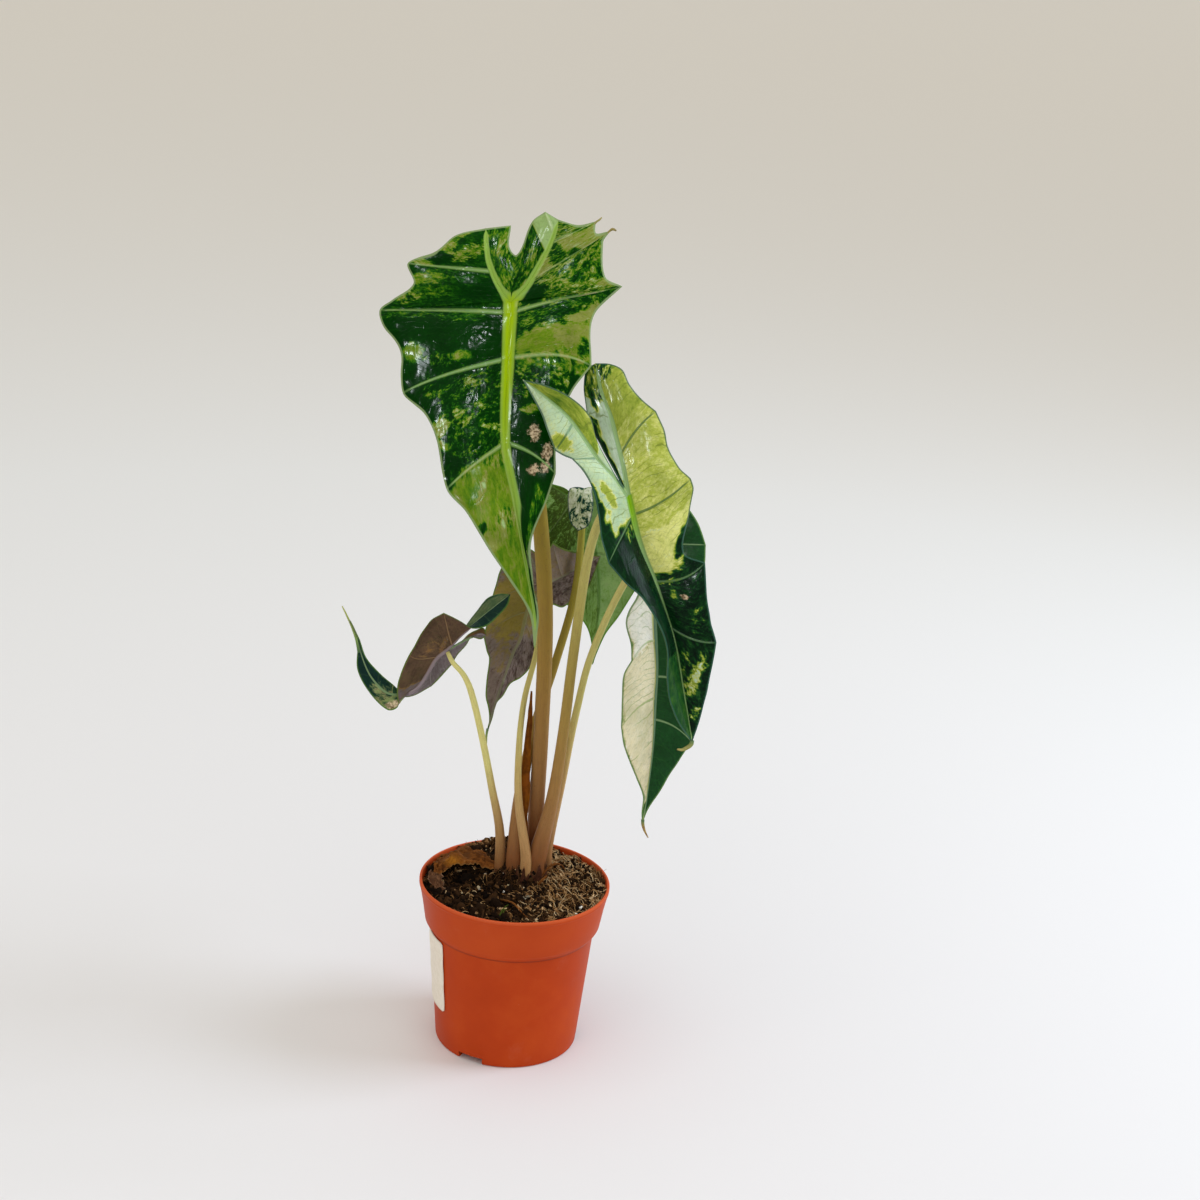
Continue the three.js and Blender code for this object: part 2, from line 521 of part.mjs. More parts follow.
function potGeometry() {
  const floor = FOOT_RECESS + WALL;
  const channelInner = CENTRE_FOOT_RADIUS + 2;
  const channelOuter = FOOT_RADIUS - FOOT_RING_WIDTH;
  const profile = [
    [0, 0], [CENTRE_FOOT_RADIUS, 0], [channelInner, FOOT_RECESS], [channelOuter - 1, FOOT_RECESS],
    [channelOuter, 0], [FOOT_RADIUS - 1, 0], [FOOT_RADIUS, 1], [SHOULDER_RADIUS, SHOULDER_HEIGHT],
    [BAND_RADIUS, BAND_BOTTOM], [RIM_RADIUS - 0.4, RIM_HEIGHT - 3], [RIM_RADIUS, RIM_HEIGHT - 1.6],
    [RIM_RADIUS - 0.3, RIM_HEIGHT - 0.3], [RIM_RADIUS - 1, RIM_HEIGHT], [RIM_RADIUS - 1.6, RIM_HEIGHT - 0.5],
    [BAND_RADIUS - WALL, BAND_BOTTOM + 1], [SHOULDER_RADIUS - WALL, SHOULDER_HEIGHT + 0.5],
    [bodyRadius(floor + 2) - WALL, floor + 2], [bodyRadius(floor) - WALL - 2, floor],
    [channelInner + 1, floor], [CENTRE_FOOT_RADIUS, WALL], [0, WALL],
  ];
  let solid = solidOf(turned(profile, SEGMENTS));
  const cuts = [];
  const notchHeight = 2 * FOOT_RECESS;
  const reach = 3 * FOOT_RING_WIDTH;
  for (const degrees of NOTCH_ANGLES) {
    const notch = new THREE.BoxGeometry(reach, NOTCH_WIDTH, notchHeight);
    notch.translate(FOOT_RADIUS - FOOT_RING_WIDTH / 2, 0, 0);
    notch.rotateZ(THREE.MathUtils.degToRad(degrees));
    cuts.push(notch);
  }
  for (let i = 0; i < DRAIN_COUNT; i += 1) {
    const drain = new THREE.CylinderGeometry(DRAIN_RADIUS, DRAIN_RADIUS, 4 * WALL, 16);
    drain.rotateX(Math.PI / 2);
    drain.translate(DRAIN_CIRCLE, 0, FOOT_RECESS + WALL / 2);
    drain.rotateZ((2 * Math.PI * (i + 0.5)) / DRAIN_COUNT);
    cuts.push(drain);
  }
  for (const cut of cuts) solid = solid.subtract(solidOf(cut));
  return geometryOf(solid);
}

// The label follows the pot's taper and stands a little off it.
function labelGeometry() {
  const columns = 12;
  const rowCount = 4;
  const rows = [];
  for (let j = 0; j <= rowCount; j += 1) {
    const height = LABEL_BOTTOM + ((LABEL_TOP - LABEL_BOTTOM) * j) / rowCount;
    const radius = bodyRadius(height) + FIT_GAP + LABEL_THICKNESS / 2;
    const row = [];
    for (let i = 0; i <= columns; i += 1) {
      const degrees = LABEL_BACK_ANGLE + ((LABEL_FRONT_ANGLE - LABEL_BACK_ANGLE) * i) / columns;
      const angle = THREE.MathUtils.degToRad(degrees);
      row.push(new THREE.Vector3(radius * Math.cos(angle), radius * Math.sin(angle), height));
    }
    rows.push(row);
  }
  return thicken(gridSheet(rows), LABEL_THICKNESS);
}

// Height of the soil: a low mound behind the stems, a slope to the front and small clods.
function soilHeight(x, y) {
  const mound = 3.2 * Math.exp(-((x + 12) ** 2 + (y - 34) ** 2) / 900);
  const hollow = -3.5 * Math.exp(-((x + 30) ** 2 + (y + 4) ** 2) / 160);
  const clods = Math.sin(0.31 * x + 1.3) * Math.cos(0.27 * y) + 0.6 * Math.sin(0.53 * y - 0.41 * x);
  return SOIL_LEVEL + mound + hollow + SOIL_ROUGHNESS * clods;
}

function soilGeometry() {
  const inside = (height) => bodyRadius(height) - WALL - FIT_GAP;
  const floor = FOOT_RECESS + WALL + FIT_GAP;
  const bandInside = BAND_RADIUS - WALL - FIT_GAP;
  const rimSlope = (RIM_RADIUS - 1.6 - BAND_RADIUS + WALL) / (RIM_HEIGHT - 0.5 - BAND_BOTTOM - 1);
  const topRadius = bandInside + rimSlope * (SOIL_LEVEL - 3 - BAND_BOTTOM - 1);
  const profile = [
    [0, WALL + FIT_GAP], [CENTRE_FOOT_RADIUS - 0.6, WALL + FIT_GAP], [CENTRE_FOOT_RADIUS + 2.4, floor],
    [inside(floor) - 2, floor], [inside(floor + 2.4), floor + 2.4], [inside(SHOULDER_HEIGHT), SHOULDER_HEIGHT + 1],
    [bandInside, BAND_BOTTOM + 1.5], [topRadius, SOIL_LEVEL - 3],
  ];
  for (let radius = topRadius - 4; radius > 3; radius -= 6) profile.push([radius, SOIL_LEVEL]);
  profile.push([0, SOIL_LEVEL]);
  const geometry = turned(profile, SEGMENTS);
  const position = geometry.getAttribute("position");
  for (let i = 0; i < position.count; i += 1) {
    const isTop = Math.abs(position.getZ(i) - SOIL_LEVEL) < 0.01;
    if (isTop) position.setZ(i, soilHeight(position.getX(i), position.getY(i)));
  }
  let solid = solidOf(geometry).subtract(solidOf(cormShape(FIT_GAP)));
  for (const path of Object.values(STALKS)) solid = solid.subtract(solidOf(stalk(path, FIT_GAP)));
  return geometryOf(solid);
}

function cormShape(extra = 0) {
  const widest = Math.max(...CORM_PROFILE.map(([radius]) => radius));
  const middle = CORM_PROFILE.findIndex(([radius]) => radius === widest);
  const profile = CORM_PROFILE.map(([radius, height], i) => {
    const away = extra * Math.sign(i - middle);
    return [radius === 0 ? 0 : radius + extra, height + away];
  });
  return turned(profile, 20, CROWN);
}

function cormGeometry() {
  let solid = solidOf(cormShape());
  for (const path of Object.values(STALKS)) solid = solid.subtract(solidOf(stalk(path, FIT_GAP)));
  return geometryOf(solid);
}

function sheathGeometry() {
  const rows = SHEATH.map(([x0, y0, x1, y1, z]) => [
    new THREE.Vector3(x0, y0, z),
    new THREE.Vector3((x0 + x1) / 2, (y0 + y1) / 2 - 0.12 * (x1 - x0), z),
    new THREE.Vector3(x1, y1, z),
  ]);
  return thicken(gridSheet(rows.reverse()), SHEATH_THICKNESS);
}

function litterGeometry() {
  const rows = LITTER.map((row) => row.map(([x, y, lift]) => new THREE.Vector3(x, y, soilHeight(x, y) + lift)));
  return thicken(gridSheet(rows.reverse()), LITTER_THICKNESS);
}

function named(name, geometry, [color, roughness]) {
  const material = new THREE.MeshStandardMaterial({ color, roughness, metalness: 0 });
  const mesh = new THREE.Mesh(geometry, material);
  mesh.name = name;
  return mesh;
}

const plant = new THREE.Group();
plant.add(named("pot", potGeometry(), COLOURS.pot));
plant.add(named("label", labelGeometry(), COLOURS.label));
plant.add(named("soil", soilGeometry(), COLOURS.soil));
plant.add(named("corm", cormGeometry(), COLOURS.corm));
plant.add(named("sheath", sheathGeometry(), COLOURS.sheath));
plant.add(named("litter", litterGeometry(), COLOURS.litter));
for (const [letter, path] of Object.entries(STALKS)) {
  plant.add(named(`petiole_${letter}`, stalk(path), COLOURS.petiole));
}
for (const [letter, leaf] of Object.entries(LEAVES)) {
  plant.add(named(`leaf_${letter}`, thicken(bladeSheet(leaf), BLADE_THICKNESS), COLOURS[`leaf_${letter}`]));
}

export default plant;
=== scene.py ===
"""A potted variegated alocasia. Tables are in millimetres; what goes into Blender is in metres."""
import math

import bmesh
import bpy
import numpy as np
from mathutils import Matrix, Vector


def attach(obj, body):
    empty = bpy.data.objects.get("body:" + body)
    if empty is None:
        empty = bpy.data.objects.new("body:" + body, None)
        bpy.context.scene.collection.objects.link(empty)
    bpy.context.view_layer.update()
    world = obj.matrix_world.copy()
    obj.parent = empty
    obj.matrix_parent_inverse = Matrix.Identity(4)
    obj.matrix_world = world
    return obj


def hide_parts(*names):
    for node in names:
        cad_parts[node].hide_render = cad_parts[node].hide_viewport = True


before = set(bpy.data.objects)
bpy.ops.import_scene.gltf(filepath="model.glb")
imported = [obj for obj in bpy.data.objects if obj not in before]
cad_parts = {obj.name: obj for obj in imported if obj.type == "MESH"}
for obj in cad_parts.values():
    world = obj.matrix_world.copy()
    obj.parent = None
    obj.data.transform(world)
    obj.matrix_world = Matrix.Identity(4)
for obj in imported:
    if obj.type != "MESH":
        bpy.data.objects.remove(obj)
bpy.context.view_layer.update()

MM = 0.001
# What a margin row marks: a side vein ending at a point or a rounded tooth, or only a corner.
VEIN, ROUNDED, CORNER = 1, 2, 3

# Leaf blades, laid out on their ribs as in the solid model. The join is where the stalk's end meets the blade.
# A margin row is [place on the ribs, x, y, z] and what it marks. A place is a share of a rib's length, below 0
# on a strip's first rib and above 0 on its second.
LEAVES = {
  "a": {
    "join": [-23, -2, 473],
    "midrib": [[-22, -13, 441], [-20, -28, 397], [-12, -38, 366], [-4, -47, 334], [4, -53, 301], [5, -55, 283]],
    "leftRib": [[-31, -1, 483], [-37, 1, 495], [-39, 3, 504], [-40, 6, 513]],
    "rightRib": [[-15, 0, 482], [-9, 3, 493], [-3, 7, 506], [1, 12, 520]],
    "left": [[-0.84, -57, 3, 508], [-0.66, -68, -1, 498], [-0.45, -83, -1, 491, ROUNDED], [-0.23, -79, -3, 480],
      [-0.1, -92, -2, 469], [0.03, -98, -1, 463, ROUNDED], [0.08, -95.5, -5, 455], [0.12, -84, -13, 443],
      [0.16, -80.5, -22, 420, ROUNDED], [0.24, -68, -27, 411], [0.32, -59, -33, 397],
      [0.4, -51, -44, 371, ROUNDED], [0.46, -39, -49, 360], [0.6, -22, -55, 337], [0.73, -8, -55, 318],
      [0.83, 1, -54, 303]],
    "right": [[-0.85, 12, 12, 518], [-0.74, 22, 15, 520, VEIN], [-0.55, 23, 12, 514], [-0.3, 30, 14, 515, VEIN],
      [-0.22, 27, 12, 509], [-0.12, 30, 7, 490], [0.03, 40, 10, 485, VEIN], [0.06, 27, 3, 472],
      [0.11, 24, -1, 463], [0.16, 26, -9, 441, VEIN], [0.22, 16, -16, 427], [0.32, 9, -25, 406],
      [0.4, 10, -34, 382, VEIN], [0.46, 6, -39, 367], [0.56, -1, -45, 344], [0.67, 2, -50, 320],
      [0.83, 6, -53, 303]],
    "sinus": [[-0.84, -26, 10, 515, CORNER], [-0.45, -26, 6, 504], [0, -22, 5, 499], [0.2, -19, 6, 504],
      [0.64, -14, 11, 518], [0.85, -7, 13, 524, VEIN]],
  },
  "b": {
    "join": [52, -24, 369],
    "midrib": [[60, -29, 345], [72, -35, 320], [85, -42, 289], [93, -46, 260], [101, -46, 228]],
    "leftRib": [[43, -28, 381], [34, -31, 391], [16, -36, 415], [3, -37, 426], [-12, -36, 436]],
    "rightRib": [[49, -19, 384], [44, -14, 399], [39, -10, 413], [33, -5, 425], [28, 0, 441]],
    "left": [[-0.8, 0, -41, 418], [-0.7, 4, -43, 409], [-0.6, 9, -43, 398, VEIN], [-0.47, 14, -41, 395],
      [-0.33, 19, -40, 393, VEIN], [-0.2, 26, -40, 386], [-0.1, 32, -41, 376], [0, 36, -45, 363],
      [0.03, 39, -50, 350], [0.07, 44, -54, 337, VEIN], [0.2, 55, -55, 326], [0.34, 65, -56, 318],
      [0.46, 75, -58, 304], [0.56, 81, -60, 290], [0.67, 82, -61, 274], [0.79, 85, -60, 259],
      [0.89, 91, -57, 245]],
    "right": [[-0.8, 37, 1, 441], [-0.7, 44, 0, 438], [-0.59, 49, -3, 430], [-0.48, 56, -5, 423],
      [-0.31, 65, -7, 417, VEIN], [-0.25, 70, -10, 408], [-0.18, 74, -14, 397], [-0.1, 80, -16, 388],
      [0.07, 88, -18, 381, VEIN], [0.13, 90, -19, 375], [0.2, 89, -22, 363], [0.27, 87, -30, 340],
      [0.34, 100, -31, 335, VEIN], [0.4, 102, -36, 320], [0.46, 106, -41, 302], [0.52, 110, -44, 291, VEIN],
      [0.62, 109, -46, 278], [0.79, 106, -47, 254], [0.89, 104, -47, 242]],
    "sinus": [[-0.8, 1, -37, 434], [-0.7, 15, -35, 428], [-0.6, 27, -31, 417], [-0.33, 32, -29, 403],
      [-0.2, 40, -28, 389], [0, 48, -25, 376], [0.18, 43, -18, 383], [0.31, 35, -11, 394], [0.48, 27, -6, 407],
      [0.7, 23, -3, 421], [0.8, 22, 0, 428], [0.9, 23, 0, 437]],
  },
  "c": {
    "join": [68, 12, 321],
    "midrib": [[73, 3, 289], [77, -2, 259], [78, -4, 237], [79, -5, 205], [78, -4, 173], [77, -3, 154]],
    "leftRib": [[63, 14, 333], [56, 15, 346], [49, 17, 361]],
    "rightRib": [[72, 16, 332], [78, 21, 344], [84, 26, 358]],
    "left": [[-0.7, 43, 6, 352], [-0.4, 44, 1, 343], [-0.13, 48, -1, 333, VEIN], [0.02, 56, -2, 319],
      [0.09, 63, -1, 305], [0.13, 58, -10, 294], [0.17, 57, -14, 288], [0.24, 61, -14, 275],
      [0.29, 62, -16, 266, VEIN], [0.34, 58, -20, 258], [0.42, 58, -22, 245], [0.5, 59, -24, 226, VEIN],
      [0.58, 61, -23, 215], [0.66, 66, -18, 201], [0.75, 71, -12, 188], [0.84, 76, -6, 174],
      [0.91, 76, -6, 163]],
    "right": [[-0.7, 90, 23, 352], [-0.5, 97, 19, 343], [-0.25, 102, 16, 332, VEIN], [-0.06, 102, 12, 320],
      [0.06, 100, 8, 306], [0.15, 104, 4, 287, VEIN], [0.24, 103, 1, 273], [0.34, 102, -1, 259],
      [0.42, 105, -3, 243, VEIN], [0.5, 104, -4, 228], [0.58, 103, -5, 212, VEIN], [0.66, 97, -6, 201],
      [0.75, 91, -6, 189], [0.84, 86, -5, 177], [0.91, 80, -4, 165]],
    "sinus": [[-0.7, 55, 19, 354], [-0.4, 61, 18, 341], [0, 67, 15, 329], [0.25, 71, 19, 340],
      [0.7, 77, 25, 353]],
  },
  "e": {
    "facesBack": True,
    "join": [26, 62, 339],
    "midrib": [[33, 68, 318], [38, 75, 293], [40, 81, 269], [40, 85, 245], [39, 88, 224]],
    "leftRib": [[17, 68, 342], [8, 74, 345], [-1, 79, 348]],
    "rightRib": [[27, 61, 345], [26, 58, 350], [25, 52, 345], [24, 50, 335], [24, 50, 325]],
    "left": [[-0.77, -4, 87, 335], [-0.5, -2, 93, 320], [-0.25, 1, 98, 303, VEIN], [0, 6, 101, 288],
      [0.14, 11, 103, 273], [0.3, 16, 103, 262, VEIN], [0.47, 25, 97, 256], [0.6, 33, 91, 249],
      [0.75, 37, 88, 239], [0.88, 38, 88, 231]],
    "right": [[-0.83, 30, 50, 329], [-0.63, 32, 50, 338], [-0.45, 32, 53, 344], [-0.33, 31, 58, 350],
      [-0.2, 36, 63, 350], [-0.1, 45, 60, 343], [0, 53, 64, 329], [0.14, 61, 69, 313], [0.3, 67, 75, 290, VEIN],
      [0.47, 61, 80, 276], [0.6, 53, 84, 259], [0.75, 46, 85, 247], [0.88, 41, 87, 232]],
    "sinus": [[-0.77, 5, 76, 347], [-0.5, 14, 67, 347], [0, 21, 65, 342], [0.2, 19, 60, 346],
      [0.33, 17, 57, 350], [0.45, 16, 52, 346], [0.63, 17, 51, 338], [0.83, 19, 50, 330]],
  },
  "f": {
    "facesBack": True,
    "join": [-50, 0, 258],
    "midrib": [[-56, -1, 253], [-61, -2, 243], [-65, -4, 236], [-71, -6, 231], [-77, -8, 230], [-83, -10, 231],
      [-88, -12, 235], [-95, -13, 244], [-100, -14, 256], [-104, -15, 270], [-113, -15, 287]],
    "leftRib": [[-44, 2, 265], [-37, 5, 272], [-26, 9, 282], [-14, 14, 292]],
    "rightRib": [[-43, 3, 262], [-36, 7, 265], [-31, 9, 267], [-27, 10, 266]],
    "left": [[-0.84, -15, 9, 287], [-0.68, -20, 5, 281], [-0.53, -27, 1, 275], [-0.39, -35, -2, 274],
      [-0.29, -42, -6, 279], [-0.19, -47, -10, 283], [-0.09, -52, -12, 286, VEIN], [0, -60, -12, 280],
      [0.06, -72, -7, 256, VEIN], [0.11, -76, -7, 246], [0.17, -78, -8, 238], [0.24, -78, -11, 232],
      [0.3, -77, -13, 224], [0.38, -83, -14, 222], [0.49, -94, -14, 232], [0.63, -102, -15, 247],
      [0.81, -103, -15, 267]],
    "right": [[-0.88, -30, 8, 264], [-0.74, -34, 7, 265], [-0.54, -36, 8, 265], [-0.34, -39, 9, 259],
      [-0.19, -44, 10, 252], [0, -47, 10, 246, VEIN], [0.06, -55, 10, 235], [0.11, -59, 8, 231, VEIN],
      [0.24, -69, 3, 226], [0.3, -75, 0, 226], [0.38, -80, -5, 234], [0.49, -88, -10, 243],
      [0.63, -97, -13, 254], [0.81, -102, -15, 268]],
    "sinus": [[-0.84, -21, 17, 291], [-0.68, -28, 16, 288], [-0.53, -34, 13, 280], [-0.39, -39, 9, 273],
      [-0.19, -42, 5, 266], [0, -47, 4, 259], [0.34, -42, 7, 262], [0.54, -38, 10, 266], [0.74, -34, 12, 268],
      [0.88, -29, 12, 270]],
  },
  "g": {
    "facesBack": True,
    "join": [7, 46, 291],
    "midrib": [[-4, 51, 272], [-8, 54, 250], [-12, 55, 240], [-17, 57, 221], [-21, 57, 206], [-24, 56, 194],
      [-26, 54, 183]],
    "leftRib": [[1, 43, 298], [-4, 41, 308], [-10, 38, 316]],
    "rightRib": [[18, 54, 295], [29, 63, 300], [39, 69, 304]],
    "left": [[-0.78, -17, 39, 309], [-0.54, -22, 40, 300], [-0.28, -24, 40, 293], [-0.06, -27, 45, 277, VEIN],
      [0.12, -29, 48, 265], [0.22, -31, 50, 251, VEIN], [0.36, -29, 52, 241], [0.47, -27, 54, 235],
      [0.57, -28, 56, 220], [0.66, -28, 56, 209], [0.75, -26, 56, 201], [0.85, -25, 56, 195],
      [0.93, -25, 55, 189]],
    "right": [[-0.8, 36, 70, 292], [-0.6, 32, 75, 279], [-0.35, 23, 75, 271], [-0.18, 17, 72, 267],
      [-0.05, 10, 66, 270], [0.06, 6, 65, 263], [0.17, 5, 67, 250], [0.28, 2, 71, 234, VEIN],
      [0.4, -2, 73, 223], [0.52, -7, 69, 218], [0.62, -13, 65, 215], [0.71, -17, 61, 208], [0.8, -21, 59, 203],
      [0.89, -23, 57, 193]],
    "sinus": [[-0.78, -4, 39, 314], [-0.4, 0, 41, 310], [0, 4, 43, 301], [0.18, 6, 41, 312],
      [0.27, 9, 40, 319, VEIN], [0.5, 15, 46, 314], [0.8, 25, 60, 308]],
  },
}
# A blade's ribs, and its strips, each between two ribs and its margin. Every rib starts at the join, and a
# strip's margin starts and ends where its ribs end.
RIBS = ("midrib", "leftRib", "rightRib")
STRIPS = (("left", "leftRib", "midrib"), ("right", "rightRib", "midrib"), ("sinus", "leftRib", "rightRib"))
for leaf in LEAVES.values():
    for rib in RIBS:
        leaf[rib].insert(0, leaf["join"])
    for strip, first, second in STRIPS:
        leaf[strip] = [[-1, *leaf[first][-1]], *leaf[strip], [1, *leaf[second][-1]]]

# Stalks: rows of [x, y, z, radius] from the soil to just short of the join.
STALKS = {
  "a": [[10, 20, 108, 5.2], [10, 21, 122, 5.1], [10, 21, 154, 4.9], [10, 21, 199, 4.7], [8, 21, 275, 4.8],
    [1, 18, 339, 4.8], [-12, 17, 413, 3.9], [-19, 14, 445, 3.5], [-23, 3, 469, 3.2]],
  "b": [[11.5, 8, 106, 7.0], [13, 8, 122, 5.9], [20, 7, 161, 4.1], [24, 3, 207, 3.4], [27, -4, 263, 3.1],
    [32, -12, 328, 2.8], [39, -15, 356, 2.6], [50, -18, 367, 2.4]],
  "c": [[19, 17, 109, 3.3], [19, 17, 125, 3.2], [25, 17, 170, 2.6], [31, 12, 219, 2.3], [38, 10, 259, 2.2],
    [55, 12, 306, 2.2], [66, 16, 319, 2]],
  "e": [[-1, 8, 106, 6.0], [-1, 11, 137, 5.0], [0, 16, 163, 4.0], [5, 31, 199, 3], [15, 42, 238, 2.7],
    [24, 51, 279, 2.5], [26, 55, 307, 2.3], [26, 58, 333, 2.1]],
  "f": [[-10, 12, 103, 3.7], [-12, 12, 136, 2.9], [-18, 10, 164, 2.4], [-26, 7, 200, 2.1], [-34, 3, 231, 2],
    [-39, 0, 243, 1.7], [-46, -3, 252, 1.5]],
  "g": [[6, 3, 107, 4.0], [6, 3, 123, 3.4], [-1, 6, 160, 2.5], [-3, 13, 194, 2], [-2, 25, 220, 1.8],
    [3, 34, 247, 1.7], [7, 42, 286, 1.6]],
}

# Half a blade's thickness, how far its midrib stands out below, how far it swells between its side veins, how
# far it arches as a share of its width, and the step of its mesh.
BLADE_HALF, MIDRIB_RISE, PUCKER, ARCH, MESH_STEP = 0.32, 1.3, 1.5, 0.05, 1.35
# Places on a rib that count as one, and how near a mesh line is to the foot of a side vein.
SAME_PLACE, SAME_VEIN = 0.012, 0.013


# --- curves -----------------------------------------------------------------------------------------------

def curve_through(rows, corners=()):
    """Smooth curve through rows that end in x, y, z, read at a row's index plus a fraction."""
    rows = np.array(rows, float)
    last = len(rows) - 1
    steps = np.maximum(np.linalg.norm(np.diff(rows[:, -3:], axis=0), axis=1), 0.001)
    distance = np.concatenate([[0], np.cumsum(steps)])

    def slope(k, side):
        before, after = max(k - 1, 0), min(k + 1, last)
        if k in corners and side > 0 and k < last:
            before = k
        if k in corners and side < 0 and k > 0:
            after = k
        return (rows[after] - rows[before]) / (distance[after] - distance[before])

    leaving = np.array([slope(k, 1) for k in range(last + 1)])
    arriving = np.array([slope(k, -1) for k in range(last + 1)])

    def read(position):
        position = np.atleast_1d(np.asarray(position, float))
        i = np.clip(np.floor(position).astype(int), 0, last - 1)
        t = (position - i)[:, None]
        span = (distance[i + 1] - distance[i])[:, None]
        bend = (t ** 3 - 2 * t * t + t) * leaving[i] + (t ** 3 - t * t) * arriving[i + 1]
        return rows[i] + (3 * t * t - 2 * t ** 3) * (rows[i + 1] - rows[i]) + bend * span

    return read


def unit(vectors, least=1e-6):
    return vectors / np.maximum(np.linalg.norm(vectors, axis=1, keepdims=True), least)


def lengths_along(points):
    return np.concatenate([[0], np.cumsum(np.linalg.norm(np.diff(points, axis=0), axis=1))])


def rail_of(points):
    """A rib, read by its share of length."""
    samples = curve_through(points)(np.linspace(0, len(points) - 1, 12 * (len(points) - 1) + 1))
    lengths = lengths_along(samples)

    def read(share):
        wanted = np.atleast_1d(share) * lengths[-1]
        return np.stack([np.interp(wanted, lengths, samples[:, n]) for n in range(3)], axis=1)

    return read


def margin_of(rows):
    """The margin of a strip, read by the place of its foot on the ribs."""
    places = np.array([row[0] for row in rows], float)
    corners = [k for k, row in enumerate(rows) if len(row) > 4 and row[4] != ROUNDED]
    curve = curve_through([row[1:4] for row in rows], corners)
    return lambda place: curve(np.interp(place, places, np.arange(len(rows))))


def merged(places):
    """The places in order, each once."""
    found = sorted(places)
    return [p for i, p in enumerate(found) if i == 0 or p - found[i - 1] > SAME_PLACE]


def smooth_step(value, low, high):
    t = np.clip((value - low) / (high - low), 0, 1)
    return t * t * (3 - 2 * t)


def lattice_noise(x, y, cell, seed):
    """Smooth random heights from -1 to 1 on a square lattice."""
    table = np.random.default_rng(seed).uniform(-1, 1, (64, 64))
    u, v = x / cell, y / cell
    i, j = np.floor(u).astype(int), np.floor(v).astype(int)
    a, b = smooth_step(u - i, 0, 1), smooth_step(v - j, 0, 1)
    i0, i1, j0, j1 = i % 64, (i + 1) % 64, j % 64, (j + 1) % 64
    low = table[i0, j0] * (1 - a) + table[i1, j0] * a
    high = table[i0, j1] * (1 - a) + table[i1, j1] * a
    return low * (1 - b) + high * b


# --- meshes -----------------------------------------------------------------------------------------------

def face_normals(points, faces):
    """Unit normals at the points of a mesh of quads and triangles."""
    normals = np.zeros_like(points)
    for size in (3, 4):
        some = np.array([f for f in faces if len(f) == size], int)
        if len(some):
            a, b, c, d = points[some[:, 0]], points[some[:, 1]], points[some[:, 2]], points[some[:, -1]]
            cross = np.cross(c - a, d - b) if size == 4 else np.cross(b - a, c - a)
            for k in range(size):
                np.add.at(normals, some[:, k], cross)
    return unit(normals, 1e-9)


def closed_sheet(points, normals, faces, up, down):
    """A sheet made solid: its points moved up and down, the faces of both sides, and walls round its border."""
    total = len(points)
    both = np.concatenate([points + normals * up, points - normals * down])
    edges = dict.fromkeys((a, b) for face in faces for a, b in zip(face, face[1:] + face[:1]))
    walls = [(b, a, a + total, b + total) for a, b in edges if (b, a) not in edges]
    return both, faces + [[a + total for a in face[::-1]] for face in faces] + walls


def add_piece(name, points, faces, materials, slot, replaces=None, face_material=None, values=None, flat=False):
    """A mesh object from points in millimetres, riding on the pot's body."""
    mesh = bpy.data.meshes.new(name)
    mesh.from_pydata((np.asarray(points) * MM).tolist(), [], [list(map(int, f)) for f in faces])
    for material in materials:
        mesh.materials.append(material)
    if face_material is not None:
        mesh.polygons.foreach_set("material_index", np.asarray(face_material, np.int32))
    mesh.polygons.foreach_set("use_smooth", np.full(len(mesh.polygons), not flat))
    for key, data in (values or {}).items():
        mesh.attributes.new(key, "FLOAT", "POINT").data.foreach_set("value", np.asarray(data, np.float32))
    mesh.update()
    piece = bpy.data.objects.new(name, mesh)
    bpy.context.scene.collection.objects.link(piece)
    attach(piece, "root")
    if replaces:
        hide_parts(replaces)
    return piece


# --- shaders ----------------------------------------------------------------------------------------------

def colour(code):
    """A colour written as six hex digits, as Blender's linear numbers."""
    channels = [int(code[i:i + 2], 16) / 255 for i in (0, 2, 4)]
    return [c / 12.92 if c <= 0.04045 else ((c + 0.055) / 1.055) ** 2.4 for c in channels] + [1.0]


